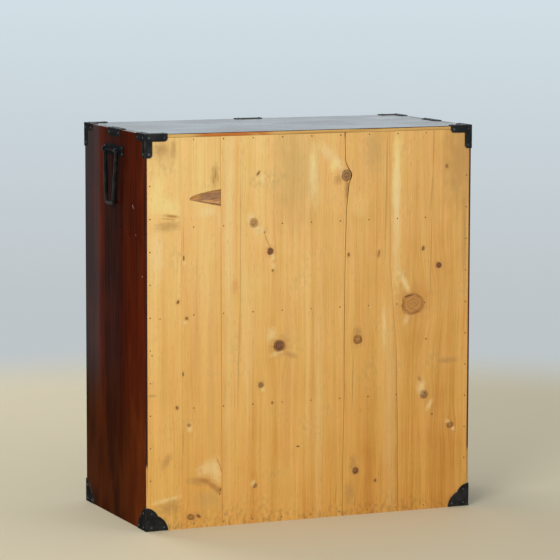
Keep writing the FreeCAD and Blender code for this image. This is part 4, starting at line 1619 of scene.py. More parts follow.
# Each plank's marks in painting order, from +X: a kind, then place, half size and tilt of each mark.
PLANK_MARKS = (
    ((Flaw.SPECK, (244.7, 389, 2.6, 3.38, 25), (246.9, 209, 2.8, 3.36, -20), (291.7, 300.5, 1.2, 1.2)),
     (Flaw.GLOW, (264, 550, 17, 10, 20), (282, 574, 7, 22, 12)), (Flaw.PALE, (282, 468, 7, 26)),
     (Flaw.FIGURE, (256.5, 534.5, 9, 1.8, 8)), (Flaw.LINE, (262, 530, 13, 1, 5)),
     (Flaw.SMOKED, (262, 518, 14, 5, -4)), (Flaw.GREYED, (272, 642, 14, 13)),
     (Flaw.SMOKED, (276, 647, 8, 6), (252, 648, 3, 10)), (Flaw.PALE, (266, 52, 15, 2.2, -10)),
     (Flaw.SMOKED, (262, 38, 14, 7, -8)), (Flaw.SPECK, (277, 362, 1.1, 1.1)),
     (Flaw.SMOKED, (266, 118, 4, 9, 30), (292, 232, 5, 1.6))),
    ((Flaw.SMOKED, (178, 600, 4, 12, 4)),
     (Flaw.LINE, (176.5, 604, 0.9, 10, 6), (172, 596, 0.7, 9, -3), (180, 592, 0.7, 7)),
     (Flaw.PALE, (190, 540, 10, 5, -10), (168, 524, 2, 10)), (Flaw.DASH, (234.2, 463, 1.4, 4.6)),
     (Flaw.LINE, (234.6, 492, 0.5, 24)), (Flaw.PALE, (233, 455, 2, 2.4)),
     (Flaw.SPECK, (229, 360.5, 2.8, 2.8)), (Flaw.PALE, (232, 354, 2.4, 2)),
     (Flaw.SPECK, (235.9, 266, 1.7, 3.74)), (Flaw.TAN_KNOT, (225.5, 178, 4, 3.2)),
     (Flaw.PALE, (224, 170, 3, 2.4)), (Flaw.RING_KNOT, (221.9, 19.5, 6.4, 4.8, 12)),
     (Flaw.PALE, (190, 103, 13, 7, -24), (176, 92, 6, 10, -20)), (Flaw.SMOKED, (206, 80, 14, 4, 6)),
     (Flaw.FIGURE, (198, 81, 9, 2.6, 12), (181, 70, 9, 3, 26), (171, 62, 5, 4, 20)),
     (Flaw.LINE, (169.5, 106, 1.1, 15, -22), (190, 76, 13, 0.9, 14), (178, 64, 9, 0.8, 30)),
     (Flaw.GREYED, (190, 48, 15, 9)), (Flaw.DASH, (168, 63, 1, 3, 20), (169, 56, 1, 2.4, 10)),
     (Flaw.LINE, (236, 150, 0.8, 24)), (Flaw.BLUSH, (186, 250, 3.5, 100), (212, 330, 4, 70)),
     (Flaw.SPECK, (208, 20, 5, 3, 30))),
    ((Flaw.SPECK, (98.5, 602, 1.8, 4.6, 38)),
     (Flaw.PALE, (93, 592, 4, 4), (112, 527, 5, 5), (97, 506, 5, 5, 20)),
     (Flaw.TAN_KNOT, (106.6, 518, 7.8, 8.19)), (Flaw.SPECK, (86.9, 501, 1.4, 1.4)),
     (Flaw.LINE, (81.5, 485, 1, 14, -24)), (Flaw.DARK_KNOT, (76.2, 468, 5.6, 6.16)),
     (Flaw.PALE, (71, 458, 2.6, 3.6), (70, 443, 2.4, 3.4)), (Flaw.SPECK, (71.8, 435, 1.8, 1.8)),
     (Flaw.PALE, (74, 324, 5, 8, 10), (64, 292, 8, 2.6, -14)), (Flaw.DARK_KNOT, (59.1, 305, 10.8, 9.504)),
     (Flaw.SMOKED, (38, 288, 8, 3, 20)), (Flaw.GREY_KNOT, (93.3, 239, 4.8, 4.8)),
     (Flaw.PALE, (89, 231, 2.4, 2.4)), (Flaw.SPECK, (72.1, 207, 2.3, 2.3)),
     (Flaw.DASH, (23.9, 128, 3.2, 1.3, 10)), (Flaw.GREY_KNOT, (103.8, 65, 3, 4.4, 30)),
     (Flaw.PALE, (108, 70, 2.4, 3.4, 30)), (Flaw.SMOKED, (131, 460, 0.6, 95), (134, 290, 0.8, 55, 1.2)),
     (Flaw.PINK, (141, 411, 4, 7)), (Flaw.GLOW, (-2, 606, 4, 24)),
     (Flaw.PALE, (-5, 590, 6, 30), (-33, 630, 17, 6, 44)), (Flaw.GLOW, (-42, 611, 4, 7, 30)),
     (Flaw.PALE, (-54, 605, 3, 14, -24)), (Flaw.GREYED, (34, 600, 22, 56)), (Flaw.SMOKED, (-50, 586, 5, 5)),
     (Flaw.FIGURE, (-66.5, 572, 2.6, 18, 2)), (Flaw.GREY_KNOT, (-65.5, 593, 8.9, 9.345)),
     (Flaw.PALE, (152, 560, 5, 90)), (Flaw.LINE, (-48, 40, 0.8, 18, 3)),
     (Flaw.VEIL, (-14, 200, 6, 130), (6, 260, 2.4, 110), (116, 330, 7, 90), (153, 300, 6, 150)),
     (Flaw.BLUSH, (44, 240, 5, 90))),
    ((Flaw.SPECK, (-70, 456, 2.3, 3.45), (-127.5, 457, 2, 4.2, 12)), (Flaw.FIGURE, (-127, 454, 2, 4.4, 12)),
     (Flaw.RING_KNOT, (-88, 308, 8, 7.6)), (Flaw.DASH, (-94.5, 307, 1.2, 5, -8)),
     (Flaw.SMOKED, (-88, 322, 5, 5)), (Flaw.DARK_KNOT, (-84.9, 78, 5.8, 6.09)),
     (Flaw.SMOKED, (-80, 92, 4, 9)), (Flaw.SPECK, (-122.6, 58, 2.6, 3.12, 10)),
     (Flaw.GREYED, (-116, 632, 12, 22)), (Flaw.SMOKED, (-141, 560, 1, 70, 1)),
     (Flaw.LINE, (-79, 235, 0.9, 50, 1)), (Flaw.PALE, (-138, 330, 2.4, 22)),
     (Flaw.VEIL, (-151, 190, 8, 120)), (Flaw.SMOKED, (-74, 40, 6, 12))),
    ((Flaw.SPECK, (-256.5, 603, 2.9, 3.48), (-212, 461, 3, 4.2, 14)),
     (Flaw.DARK_KNOT, (-242.7, 430.5, 5.2, 5.2)),
     (Flaw.PALE, (-174, 410, 3.4, 13, -26), (-181, 396, 2.6, 9, -20)), (Flaw.GLOW, (-160, 606, 4.5, 40, 1)),
     (Flaw.PALE, (-160, 560, 4, 30), (-160, 510, 4.5, 60), (-181, 340, 3.2, 7, 24)),
     (Flaw.BROWN_KNOT, (-192.6, 364.5, 20.5, 17.63)), (Flaw.DASH, (-186, 379.5, 10.5, 1.3, -12)),
     (Flaw.LINE, (-203, 377, 7, 1, 30), (-199, 365, 6, 1, -24)), (Flaw.SPECK, (-219, 302, 1.5, 1.5)),
     (Flaw.GREY_KNOT, (-215.6, 204, 7.2, 7.2)), (Flaw.PALE, (-210, 218, 4.6, 8, 10)),
     (Flaw.FIGURE, (-207, 232, 2.2, 4, -30)), (Flaw.SPECK, (-231.6, 168, 1.9, 1.9)),
     (Flaw.PALE, (-226, 185, 2.4, 7, 30)), (Flaw.RING_KNOT, (-267, 147, 6.4, 4.8, -20)),
     (Flaw.PALE, (-273, 140, 2.2, 2.2), (-262, 154, 2.8, 2, 30)), (Flaw.LINE, (-231, 640, 1.1, 40, 0.6)),
     (Flaw.SMOKED, (-228, 560, 1.1, 22, 4)), (Flaw.LINE, (-227, 430, 0.6, 120, 1.2)),
     (Flaw.SMOKED, (-284, 610, 20, 46), (-292, 480, 3, 60), (-262, 262, 12, 3))),
)


@dataclass
class PlankedBack(Assembly):
    """Five upright planks nailed over the back of the case."""

    pitch: float = 2.3 * MM
    arris: float = 1.0 * MM
    arris_drop: float = 0.4 * MM
    lip_gap: float = 0.5 * MM
    wave: float = 0.16 * MM
    waves_per_metre: Spot = (26.0, 7.0)
    knot_push: float = 0.7
    knot_rise: float = 0.22 * MM
    knot_groove: float = 0.3 * MM
    lightness: tuple[float, ...] = (0.66, 0.66, 0.62, 0.53, 0.53)
    features: tuple[tuple[Wedge | Ripple, ...], ...] = ((), (Wedge(),), (), (Ripple(),), ())
    seams: tuple[Seam, ...] = (
        straight_seam(300.0, 300.0, 0.5),
        straight_seam(239.0, 235.5, 0.1),
        straight_seam(167.0, 164.0, 0.35),
        Seam(((-62.5, 667, 2.2), (-62.7, 655, 1.0), (-63.5, 618, 1.1), (-68.5, 606, 1.6),
              (-75.3, 597, 2.0), (-75.5, 590, 1.8), (-70.5, 580, 1.3), (-68.5, 560, 1.3),
              (-65.8, 533, 1.0), (-63.7, 447, 0.9), (-62.7, 308, 0.8), (-63.2, 212, 0.6),
              (-61.0, 98, 0.45), (-60.5, 0, 0.5))),
        Seam(((-147.0, 667, 0.3), (-149.2, 435, 0.25), (-162.0, 294, 0.4), (-165.0, 162, 0.7),
              (-166.0, 0, 0.7))),
        straight_seam(-300.0, -300.0, 0.5))
    nail_radius: float = 1.25 * MM
    nail_dome: float = 0.5 * MM

    def build(self) -> None:
        """Makes the planks and the heads of their nails."""
        for number, runs in enumerate(PLANK_MARKS, 1):
            marks = in_order(runs)
            node = f"back_plank_{number}"
            finish = PineFinish(f"pine_plank_{number}", 3.7 * number, self.lightness[number - 1], marks,
                                self.features[number - 1])
            bm = self.plank(node, self.seams[number - 1], self.seams[number], marks, 1.7 * number)
            self.bench.piece(f"{node}_wood", bm, "case", "bare_pine", [finish], [node], 50.0, False)
        self.bench.heads("back_nail_heads", nail_heads("back_nails", self.nail_dome), "case",
                         BACK_NAIL_IRON, self.nail_radius, self.nail_dome, ["back_nails"])

    def columns(self, width: float) -> np.ndarray:
        """Shares across a plank: close together at its arrises, even between them.

        Args:
            width: The plank's width.

        Returns:
            The shares, from 0 to 1.
        """
        near = np.array([0.0, 0.12, 0.4, 1.0]) * self.arris / width
        count = max(4, round((width - 2 * self.arris) / self.pitch))
        middle = np.linspace(near[-1], 1 - near[-1], count + 1)
        return np.concatenate([near[:-1], middle, 1 - near[:-1][::-1]])

    def plank(self, node: str, right: Seam, left: Seam, marks: Sequence[Mark], seed: float) -> BMesh:
        """The mesh of one plank between two seams.

        Args:
            node: The node it stands for, which gives its thickness and height.
            right: The seam towards +X.
            left: The seam towards -X.
            marks: Its knots, which stand a little proud or sunken.
            seed: Makes its planing marks its own.

        Returns:
            A closed mesh.
        """
        low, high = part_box(node)
        rows = round((high.z - low.z) / self.pitch)
        heights = np.linspace(low.z, high.z - self.lip_gap, rows + 1)
        starts, ends = left.edge(heights, 1.0), right.edge(heights, -1.0)
        shares = self.columns(float((ends - starts).mean()))
        x = starts[:, None] + (ends - starts)[:, None] * shares[None, :]
        z = np.repeat(heights[:, None], len(shares), 1)
        to_edge = np.minimum(x - starts[:, None], ends[:, None] - x)
        drop = self.arris_drop * np.clip(1 - to_edge / self.arris, 0, 1) ** 2
        y = high.y - drop + self.relief(x, z, marks, seed)
        bm = plain_bm()
        grid = [[bm.verts.new(point) for point in zip(*row)] for row in zip(x, y, z)]
        back = [[bm.verts.new((side, low.y, height)) for side in sides]
                for *sides, height in zip(starts, ends, heights)]
        for (near, near_back), (far, far_back) in zip(zip(grid, back), zip(grid[1:], back[1:])):
            for a, b, c, d in zip(near, far, far[1:], near[1:]):
                bm.faces.new((a, b, c, d))
            bm.faces.new((*near_back, *reversed(far_back)))
            bm.faces.new((near_back[0], far_back[0], far[0], near[0]))
            bm.faces.new((near_back[1], near[-1], far[-1], far_back[1]))
        bm.faces.new((*reversed(back[0]), *grid[0]))
        bm.faces.new((*back[-1], *reversed(grid[-1])))
        return bm

    def relief(self, x: np.ndarray, z: np.ndarray, marks: Sequence[Mark], seed: float) -> np.ndarray:
        """How far the face stands out: planing waves, and knots with a sunken rim.

        Args:
            x, z: Places in the face.
            marks: The marks in the face.
            seed: Moves the waves.

        Returns:
            The height at each place, at most zero.
        """
        across, up = self.waves_per_metre
        points = np.stack([x.ravel() * across, np.full(x.size, seed), z.ravel() * up], 1)
        waves = np.array([noise.noise(Vector(point)) for point in points]).reshape(x.shape)
        height = waves * self.wave - self.wave
        for mark in marks:
            if mark.kind.value.push >= self.knot_push:
                distance = np.hypot((x / MM - mark.across) / mark.half_width,
                                    (z / MM - mark.up) / mark.half_height)
                height += self.knot_rise * np.exp(-((distance / 0.7) ** 2))
                height -= self.knot_groove * np.exp(-(((distance - 1.05) / 0.16) ** 2))
        return np.minimum(height, 0.0)


# ---------- case


class Surface(Enum):
    """What covers a face of a case board: the index of its material."""

    LACQUER = 0
    LINING = 1
    EDGE = 2
    END = 3


@dataclass
class CaseBoards(Assembly):
    """The lacquered case with its dust boards, partition and shelf."""

    arris: float = 0.9 * MM
    inner_arris: float = 0.4 * MM
    side_marks: tuple[Mark, ...] = (
        Mark(Flaw.SCRATCH, 91, 547, 1.0, 5.2, 40), Mark(Flaw.SCRATCH, 104, 500, 0.5, 2.2, 30),
        Mark(Flaw.SCRATCH, 135, 433, 0.8, 3.0, -50), Mark(Flaw.BLACK_SPOT, 38.7, 508, 2.4, 3.0),
        Mark(Flaw.BLACK_SPOT, 73, 499, 2.0, 2.6), Mark(Flaw.BLACK_SPOT, 27.6, 286, 2.2, 3.2))
    side_bands: tuple[Spot, ...] = (
        (-0.150, -0.22), (-0.112, -0.2), (-0.098, -0.04), (-0.084, -0.02), (-0.074, 0.16),
        (-0.054, 0.06), (-0.044, -0.14), (0.012, -0.12), (0.045, 0.0), (0.075, 0.1), (0.108, 0.08),
        (0.126, 0.2), (0.143, 0.24), (0.150, -0.1))

    def build(self) -> None:
        """Makes every board of the case."""
        self.outer = tuple(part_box("side_panel_right")[1])
        width, _, height = self.outer
        top = LacquerFinish("lacquer_top", Axis.X, 4.0, roughness=0.24, specular=0.5, coat=0.35)
        right = RubbedLacquerFinish("lacquer_side_right", Axis.Z, 1.0, bands=self.side_bands,
                                    marks=self.side_marks, specular=0.0)
        left = LacquerFinish("lacquer_side_left", Axis.Z, 9.0, 0.44, roughness=0.32)
        rail = LacquerFinish("lacquer_rails", Axis.X, 6.0)
        upright = LacquerFinish("lacquer_uprights", Axis.Z, 7.0)
        top_lip = LipFinish("lip_top", Axis.X, Axis.Z, height, 1.1 * MM, (0.088, 0.215))
        pale_lip = LipFinish("lip_right", Axis.Z, Axis.X, width, 0.25 * MM, covered=(0.1, 0.108),
                             bare=tone(250, 212, 146))
        dark_lip = LipFinish("lip_left", Axis.Z, Axis.X, width, 0.8 * MM, covered=(0.085, 0.1),
                             bare=tone(206, 148, 80), lacquer=tone(76, 24, 14))
        self.board("top_board", [top, LINING_X, top_lip, right, left])
        self.board("bottom_board", [rail, LINING_X, LINING_X, right, left])
        self.board("side_panel_right", [rail, LINING_Z, pale_lip, right, left])
        self.board("side_panel_left", [rail, LINING_Z, dark_lip, right, left])
        for node in ("dust_board_lower", "dust_board_middle", "dust_board_upper", "small_shelf"):
            self.board(node, [rail, LINING_X, LINING_X])
        self.board("partition", [upright, LINING_Z, LINING_Z])

    def board(self, node: str, finishes: Sequence[Finish]) -> None:
        """Makes one board from its node, softened along the case's outer edges.

        Args:
            node: The node it stands for.
            finishes: A finish for each surface, and last one for the left end.
        """
        bm = cad_bm(node)
        outer = [edge for edge in sharp_edges(bm) if self.on_outer_edge(edge)]
        if outer:
            soften(bm, outer, self.arris, 3)
        else:
            front = [edge for edge in sharp_edges(bm)
                     if all(vert.co.y < MM - self.outer[1] for vert in edge.verts)]
            soften(bm, front, self.inner_arris)
        for face in bm.faces:
            surface = self.surface(face)
            left = surface is Surface.END and face.normal.x < 0
            face.material_index = surface.value + left
        self.bench.piece(f"{node}_wood", bm, "case", "red_lacquer", finishes, [node])

    def on_outer_edge(self, edge: Edge) -> bool:
        """Whether an edge lies on one of the twelve outer edges of the case.

        Args:
            edge: An edge of a board.

        Returns:
            True where the edge lies in two of the case's outer faces.
        """
        hits = 0
        for axis, reach in enumerate(self.outer):
            ends = (0.0 if axis == 2 else -reach, reach)
            hits += any(all(abs(vert.co[axis] - end) < 0.1 * MM for vert in edge.verts) for end in ends)
        return hits >= 2

    def surface(self, face: Face) -> Surface:
        """What covers a face, from where it is and where it looks.

        Args:
            face: A face of a board.

        Returns:
            Its covering.
        """
        out, at = face.normal, face.calc_center_median()
        if out.y > 0.6:
            return Surface.EDGE
        if abs(out.x) > 0.6 and abs(at.x) > self.outer[0] - MM:
            return Surface.END
        front = out.y < -0.3 and at.y < 2 * MM - self.outer[1]
        top = out.z > 0.3 and at.z > self.outer[2] - MM
        return Surface.LACQUER if front or top else Surface.LINING


# ---------- irons


@dataclass
class CaseIrons(Assembly):
    """The corner irons, foot irons and straps, with the tacks that hold them."""

    nodes: tuple[str, ...] = (
        "upper_corner_iron_back_right", "upper_corner_iron_back_left", "upper_corner_irons_front",
        "lower_corner_iron_back_right", "lower_corner_iron_back_left", "lower_corner_irons_front",
        "side_edge_straps", "front_center_strap")
    depth: float = 0.14 * MM
    tack_radius: float = 2.1 * MM
    tack_dome: float = 1.1 * MM

    def build(self) -> None:
        """Makes the irons and the heads of their tacks."""
        for node in self.nodes:
            self.bench.sheet(node, "case", depth=self.depth)
        self.bench.heads("iron_tack_heads", nail_heads("iron_nails", self.tack_dome), "case",
                         NAIL_IRON, self.tack_radius, self.tack_dome, ["iron_nails"])


# ---------- carrying handles


@dataclass
class CarryHandles(Assembly):
    """A drop loop on each side, hung on two pins in the barrel of its plate."""

    eye: float = 5.0 * MM
    eye_length: float = 6.0 * MM
    eye_outline: tuple[Spot, ...] = ((2.2, 0.0), (4.1, 0.0), (4.8, 0.7), (4.8, 5.3), (4.1, 6.0), (2.2, 6.0),
                                     (2.2, 0.0))
    rod: float = 3.0 * MM
    belly: float = 0.9 * MM
    flatness: float = 0.92
    bend: float = 6.0 * MM
    foot_half: float = 17.0 * MM
    lean: Spot = (3.0 * MM, -3.2 * MM)
    sheet: float = 2.0 * MM
    web: float = 2.0 * MM
    barrel: float = 2.3
    barrel_gap: float = 1.0 * MM
    pin: float = 1.95
    pin_head: tuple[Spot, ...] = ((2.9, -2.0), (2.6, -1.5), (1.6, -1.1), (0.0, -1.0))

    def build(self) -> None:
        """Makes the plates, the pins and both loops."""
        self.plates()
        self.pins()
        for side in ("right", "left"):
            self.loop(f"carry_handle_{side}")

    def plates(self) -> None:
        """Makes both plates: a hammered sheet with a slim barrel on a web."""
        bm = plain_bm()
        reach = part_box("carry_handle_right")[1]
        axis_x = reach.x - self.eye
        for low, high in boxes("carry_plates"):
            way = 1.0 if low[0] > 0 else -1.0
            skin = low[0] if way > 0 else high[0]
            _, y, z = (low + high) / 2
            half = reach.y - y - self.eye_length - self.barrel_gap
            block(bm, (skin + way * self.sheet / 2, y, z), (self.sheet, high[1] - low[1], high[2] - low[2]))
            block(bm, ((skin + way * axis_x) / 2, y, z), (axis_x - abs(skin), 2 * half, self.web))
            turned(bm, (way * axis_x, y - half, z), (0, 1, 0), rod_outline(self.barrel, 2 * half / MM), 20)
        outward(bm)
        soften(bm, sharp_edges(bm, 50.0), 0.4 * MM)
        gridded(bm, 4 * MM)
        hammered(bm, 0.12 * MM, 5 * MM, 4.0)
        self.bench.forged("carry_plates", bm, "case", DULL_IRON)

    def pins(self) -> None:
        """Makes the pins that the loops turn on, with low heads."""
        bm = plain_bm()
        plate_low, plate_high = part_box("carry_plates")
        for low, high in boxes("carry_pins"):
            x, y, z = (low + high) / 2
            way = 1.0 if y > (plate_low.y + plate_high.y) / 2 else -1.0
            start = low[1] if way > 0 else high[1]
            length = float(high[1] - low[1]) / MM
            head = [(radius, length + height) for radius, height in self.pin_head]
            shank = [(0.0, 0.0), (self.pin, 0.0), (self.pin, head[0][1])]
            turned(bm, (x, start, z), (0, way, 0), shank + head, 20)
        outward(bm)
        self.bench.forged("carry_pins", bm, "case", DULL_IRON)

    def loop(self, node: str) -> None:
        """Makes one loop in the place of its node.

        Args:
            node: The node it stands for, which is also its body.
        """
        low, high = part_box(node)
        x, y, _ = (low + high) / 2
        pivot, foot = high.z - self.eye, low.z + self.rod
        top = (high.y - low.y) / 2 - self.eye_length / 2
        above, below = (y + shift for shift in self.lean)
        line = rounded_line([(x, above - top, pivot), (x, below - self.foot_half, foot),
                             (x, below + self.foot_half, foot), (x, above + top, pivot)], self.bend)
        down = (pivot - line[:, 2]) / (pivot - foot)
        thick = self.rod + self.belly * np.sin(np.clip(down, 0, 1) * math.pi)
        bm = plain_bm()
        swept(bm, line, (1.0, 0.0, 0.0), np.stack([thick, thick * self.flatness], 1))
        for way in (-1, 1):
            turned(bm, (x, y + way * (top - self.eye_length / 2), pivot), (0, way, 0), self.eye_outline)
        bmesh.ops.remove_doubles(bm, verts=bm.verts, dist=0.01 * MM)
        outward(bm)
        hammered(bm, 0.14 * MM, 4 * MM, 1.0)
        self.bench.piece(f"{node}_loop", bm, node, "black_iron", [HANDLE_IRON], [node])


# ---------- drawers


@dataclass
class WideDrawer(Assembly):
    """A wide drawer with a bail at each end of its front."""

    name: str
    seed: float
    lightness: float = 0.5
    rod: float = 2.5 * MM
    swell: float = 0.12
    tip: float = 39.6 * MM
    splay: float = 4.0 * MM
    bend: float = 9.0 * MM
    post_eye: float = 5.0 * MM
    post: EyeBolt = EyeBolt(3.75 * MM, 1.15 * MM, 3.0 * MM, 2.6, 3.2 * MM, (
        (0.0, 0.0), (9.0, 0.0), (9.0, 0.5), (8.3, 1.1), (7.2, 1.0), (5.4, 1.5), (3.6, 2.1), (3.1, 2.6),
        (0.0, 2.6)))

    def build(self) -> None:
        """Makes the box, the posts and both bails."""
        self.bench.lacquered(f"{self.name}_front", self.name, self.seed, self.lightness)
        self.bench.wood(f"{self.name}_walls", self.name, [LINING_Y, LINING_X], chooser=crosswise)
        self.bench.wood(f"{self.name}_bottom", self.name, [LINING_X])
        self.posts()
        for side in ("left", "right"):
            self.bail(f"{self.name}_bail_{side}")

    def posts(self) -> None:
        """Makes the four posts: a turned rose and shank, and a forged eye."""
        node = f"{self.name}_posts"
        bm = plain_bm()
        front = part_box(f"{self.name}_front")[0].y
        for low, high in boxes(node):
            x, _, z = (low + high) / 2
            self.post.forge(bm, (x, low[1] + self.post_eye, z), front)
        outward(bm)
        self.bench.forged(node, bm, self.name, BLACK_IRON)

    def bail(self, node: str) -> None:
        """Makes one bail: a forged rod, thicker at its middle, turned in through its posts.

        Args:
            node: The node it stands for, which is also its body.
        """
        low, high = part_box(node)
        x, y, _ = (low + high) / 2
        pivot, foot = high.z - self.rod, low.z + self.rod
        reach = (high.x - low.x) / 2 - self.rod
        right = [(self.tip, pivot), (reach, pivot), (reach - self.splay, foot)]
        points = [(x - out, y, z) for out, z in right] + [(x + out, y, z) for out, z in reversed(right)]
        line = rounded_line(points, self.bend)
        down = np.clip((pivot - line[:, 2]) / (pivot - foot), 0, 1)
        thick = self.rod * (0.96 + self.swell * down * (1 - ((line[:, 0] - x) / reach) ** 2))
        count = np.arange(len(line))
        thick *= np.minimum(1.0, 0.6 + np.minimum(count, count[::-1]) * 0.4)
        bm = plain_bm()
        swept(bm, line, (0.0, 1.0, 0.0), np.stack([thick, thick * 0.94], 1))
        outward(bm)
        hammered(bm, 0.1 * MM, 4 * MM, 2.0)
        self.bench.forged(node, bm, node, HANDLE_IRON)


@dataclass
class SmallDrawer(Assembly):
    """A small drawer with a turned knob."""

    name: str
    seed: float
    profile: tuple[Spot, ...] = ((0.0, 0.0), (9.0, 0.0), (9.0, 0.5), (8.2, 1.2), (6.6, 1.3), (4.6, 2.0),
                                 (3.7, 4.0), (3.6, 8.0), (4.3, 10.6), (6.4, 12.4), (8.5, 13.8),
                                 (9.0, 15.0), (8.6, 16.0), (6.8, 17.1), (4.0, 17.8), (0.0, 18.0))

    def build(self) -> None:
        """Makes the box and the knob."""
        self.bench.lacquered(f"{self.name}_front", self.name, self.seed)
        self.bench.wood(f"{self.name}_box", self.name, [LINING_Y, LINING_X], chooser=crosswise)
        node = f"{self.name}_knob"
        low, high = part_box(node)
        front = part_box(f"{self.name}_front")[0].y
        bm = plain_bm()
        turned(bm, ((low.x + high.x) / 2, front, (low.z + high.z) / 2), (0, -1, 0), self.profile, 36)
        outward(bm)
        hammered(bm, 0.07 * MM, 3 * MM, 5.0)
        self.bench.forged(node, bm, self.name, HANDLE_IRON)


# ---------- door


@dataclass
class Door(Assembly):
    """The door with its hinges, lock plate and ring."""

    seed: float = 13.0
    tack: float = 1.5 * MM
    tack_dome: float = 0.8 * MM
    leaf_insets: Spot = (5.5 * MM, 18.0 * MM)
    leaf_margin: float = 6.5 * MM
    plate_margin: float = 3.6 * MM
    plate_tacks: int = 8
    lock_margin: float = 4.2 * MM
    eye_set: float = 5.0 * MM
    eye: EyeBolt = EyeBolt(3.8 * MM, 1.1 * MM, 2.0 * MM, 1.8, 3.4 * MM, (
        (0.0, 0.0), (4.6, 0.0), (4.4, 0.7), (2.6, 1.4), (0.0, 1.4)), 24, 1.2 * MM)
    ring_points: int = 72

    def build(self) -> None:
        """Makes the panel and all its irons."""
        self.bench.lacquered("door_panel", "door", self.seed)
        for node, body, arris, iron in (
                ("door_hinge_case_leaves", "case", 0.2 * MM, BLACK_IRON),
                ("door_hinge_door_leaves", "door", 0.2 * MM, BLACK_IRON),
                ("door_hinge_pins", "case", 0.3 * MM, NAIL_IRON)):
            bm = cad_bm(node)
            soften(bm, sharp_edges(bm, 50.0), arris)
            self.bench.forged(node, bm, body, iron)
        self.bench.sheet("door_lock_plate", "door")
        self.bench.sheet("drawer_top_lock_plate", "drawer_top")
        self.ring_eye()
        self.ring()
        self.tacks()

    def ring_eye(self) -> None:
        """Makes the eye, with its shank and collar."""
        low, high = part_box("door_ring_eye")
        bm = plain_bm()
        at = ((low.x + high.x) / 2, low.y + self.eye_set, (low.z + high.z) / 2)
        self.eye.forge(bm, at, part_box("door_panel")[0].y)
        outward(bm)
        self.bench.forged("door_ring_eye", bm, "door", BLACK_IRON)

    def ring(self) -> None:
        """Makes the ring that hangs in the eye."""
        low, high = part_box("door_ring")
        rod = (high.y - low.y) / 2
        line = circle((low + high) / 2, (high.z - low.z) / 2 - rod, Axis.Y, self.ring_points)
        bm = plain_bm()
        swept(bm, line, (0.0, 1.0, 0.0), np.full((self.ring_points, 2), rod * 0.97), True)
        outward(bm)
        self.bench.forged("door_ring", bm, "door_ring", HANDLE_IRON)

    def tacks(self) -> None:
        """Puts small tacks in the door's leaves and in both lock plates."""
        low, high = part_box("door_lock_plate")
        face, middle = low.y, (low + high) / 2
        places = [(x, z) for leaf_low, leaf_high in boxes("door_hinge_door_leaves")
                  for x in (leaf_low[0] + inset for inset in self.leaf_insets)
                  for z in (leaf_low[2] + self.leaf_margin, leaf_high[2] - self.leaf_margin)]
        reach = (high.x - low.x) / 2 - self.plate_margin
        for step in range(self.plate_tacks):
            turn = 2 * math.pi * (step + 0.5) / self.plate_tacks
            places.append((middle.x + reach * math.cos(turn), middle.z + reach * math.sin(turn)))
        self.row("door", places, face)
        low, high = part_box("drawer_top_lock_plate")
        inset = self.lock_margin
        places = [(x, z) for x in (low.x + inset, high.x - inset)
                  for z in (low.z + inset, (low.z + high.z) / 2, high.z - inset)]
        self.row("drawer_top", places, low.y)

    def row(self, body: str, places: Sequence[Spot], face: float) -> None:
        """Makes the heads of tacks driven into a face from the front, at their X and Z."""
        spots = [(Vector((x, face, z)), Vector((0, -1, 0))) for x, z in places]
        self.bench.heads(f"{body}_tack_heads", spots, body, NAIL_IRON, self.tack, self.tack_dome)


# ---------- studio


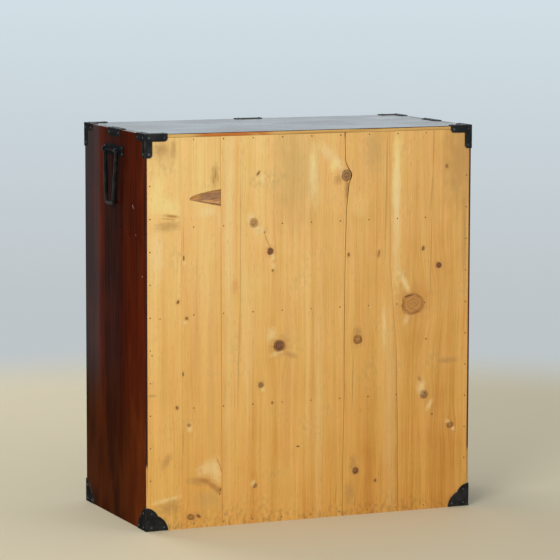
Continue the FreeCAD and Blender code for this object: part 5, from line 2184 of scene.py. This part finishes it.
@dataclass
class Studio:
    """A pale floor, a pale sky, soft lamps and the camera."""

    case_height: float = 0.673
    camera_at: tuple[float, float, float] = (3.09017194, 7.26217383, 1.56137030)
    yaw: float = 3.54488202
    pitch: float = -0.122233817
    roll: float = 0.00235477792
    focal_pixels: float = 3044.0
    frame_pixels: float = 560.0
    sensor: float = 36.0
    floor_radius: float = 2.2
    floor_sides: int = 96
    light: Colour = tone(222, 228, 234)
    horizon: tuple[tuple[float, Colour], ...] = (
        (0.435, tone(190, 197, 200)), (0.465, tone(201, 212, 218)), (0.49, tone(211, 226, 233)),
        (1.0, tone(230, 239, 243)))

    def build(self) -> None:
        """Sets everything up."""
        self.floor()
        self.sky()
        self.lamp("key", (3.4, 3.4, 2.6), (2.0, 1.6), 112.0, (1.0, 0.975, 0.94))
        self.lamp("fill", (-2.6, 3.6, 1.6), (1.8, 1.8), 22.0, (0.95, 0.97, 1.0))
        self.lamp("front", (1.2, -3.4, 2.6), (2.2, 1.6), 60.0, (1.0, 0.98, 0.95))
        self.camera()
        bpy.context.scene.view_settings.view_transform = "Standard"

    def floor(self) -> None:
        """Lays a round floor."""
        bm = bmesh.new()
        bmesh.ops.create_circle(bm, cap_ends=True, segments=self.floor_sides, radius=self.floor_radius)
        mesh = as_mesh(bm, "studio_floor")
        mesh.materials.append(FloorFinish("floor_pale").material())
        in_scene("studio_floor", mesh)

    def sky(self) -> None:
        """Sets a pale backdrop for the eye and for reflections, and an even light for the rest."""
        world = bpy.data.worlds.new("studio_sky")
        bpy.context.scene.world = world
        world.use_nodes = True
        net = Net(world.node_tree)
        height = net.split(net.node("ShaderNodeTexCoord").outputs["Generated"])[2]
        seen = net.ramp(net.scaled(height, 0.5, 0.5), *self.horizon)
        path = net.node("ShaderNodeLightPath").outputs
        direct = net.maths("MAXIMUM", path["Is Camera Ray"], path["Is Glossy Ray"])
        direct = net.maths("MAXIMUM", direct, path["Is Transmission Ray"])
        net.feed(world.node_tree.nodes["Background"], {"Color": net.mix(direct, self.light, seen),
                                                       "Strength": net.scaled(direct, 0.4, 0.6)})

    def lamp(self, name: str, at: tuple[float, float, float], size: Spot, power: float,
             colour: tuple[float, float, float]) -> None:
        """Hangs an area lamp that looks at the middle of the chest.

        Args:
            name: Its name.
            at: Its place.
            size: Its width and height.
            power: Its power in watts.
            colour: Its colour.
        """
        data = bpy.data.lights.new(name, "AREA")
        data.shape = "RECTANGLE"
        data.size, data.size_y = size
        data.energy = power
        data.color = colour
        made = in_scene(name, data)
        made.location = at
        made.visible_glossy = False
        aim = Vector((0, 0, self.case_height / 2)) - Vector(at)
        made.rotation_euler = aim.to_track_quat("-Z", "Y").to_euler()

    def camera(self) -> None:
        """Sets the camera behind the chest, looking at its back, side and top."""
        data = bpy.data.cameras.new("camera")
        data.sensor_width = self.sensor
        data.lens = self.focal_pixels * self.sensor / self.frame_pixels
        data.clip_end = 100.0
        made = in_scene("camera", data)
        level = math.cos(self.pitch)
        ahead = Vector((math.sin(self.yaw) * level, math.cos(self.yaw) * level, math.sin(self.pitch)))
        right = ahead.cross(Vector((0, 0, 1))).normalized()
        turn = Matrix.Rotation(-self.roll, 3, ahead)
        columns = (turn @ right, turn @ right.cross(ahead), -ahead)
        matrix = Matrix(columns).transposed().to_4x4()
        matrix.translation = Vector(self.camera_at) * self.case_height
        made.matrix_world = matrix
        bpy.context.scene.camera = made


# ---------- the whole chest


def corners(bounds: tuple[Vector, Vector]) -> list[list[float]]:
    """A box's corners as plain lists."""
    return [[float(value) for value in corner] for corner in bounds]


def main() -> None:
    """Builds the chest on its frame, then the studio."""
    logging.basicConfig(level=logging.INFO, format="%(name)s: %(message)s")
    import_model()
    bench = Bench()
    for kind in (CaseBoards, PlankedBack, CaseIrons, CarryHandles):
        kind(bench).build()
    for name, seed, lightness in (("drawer_top", 21.0, 0.5), ("drawer_upper", 34.0, 0.53),
                                  ("drawer_middle", 47.0, 0.48)):
        WideDrawer(bench, name, seed, lightness).build()
    for name, seed in (("small_drawer_upper", 58.0), ("small_drawer_lower", 69.0)):
        SmallDrawer(bench, name, seed).build()
    Door(bench).build()
    Studio().build()
    LOG.info("%d pieces", bench.made)


if __name__ == "__main__":
    main()
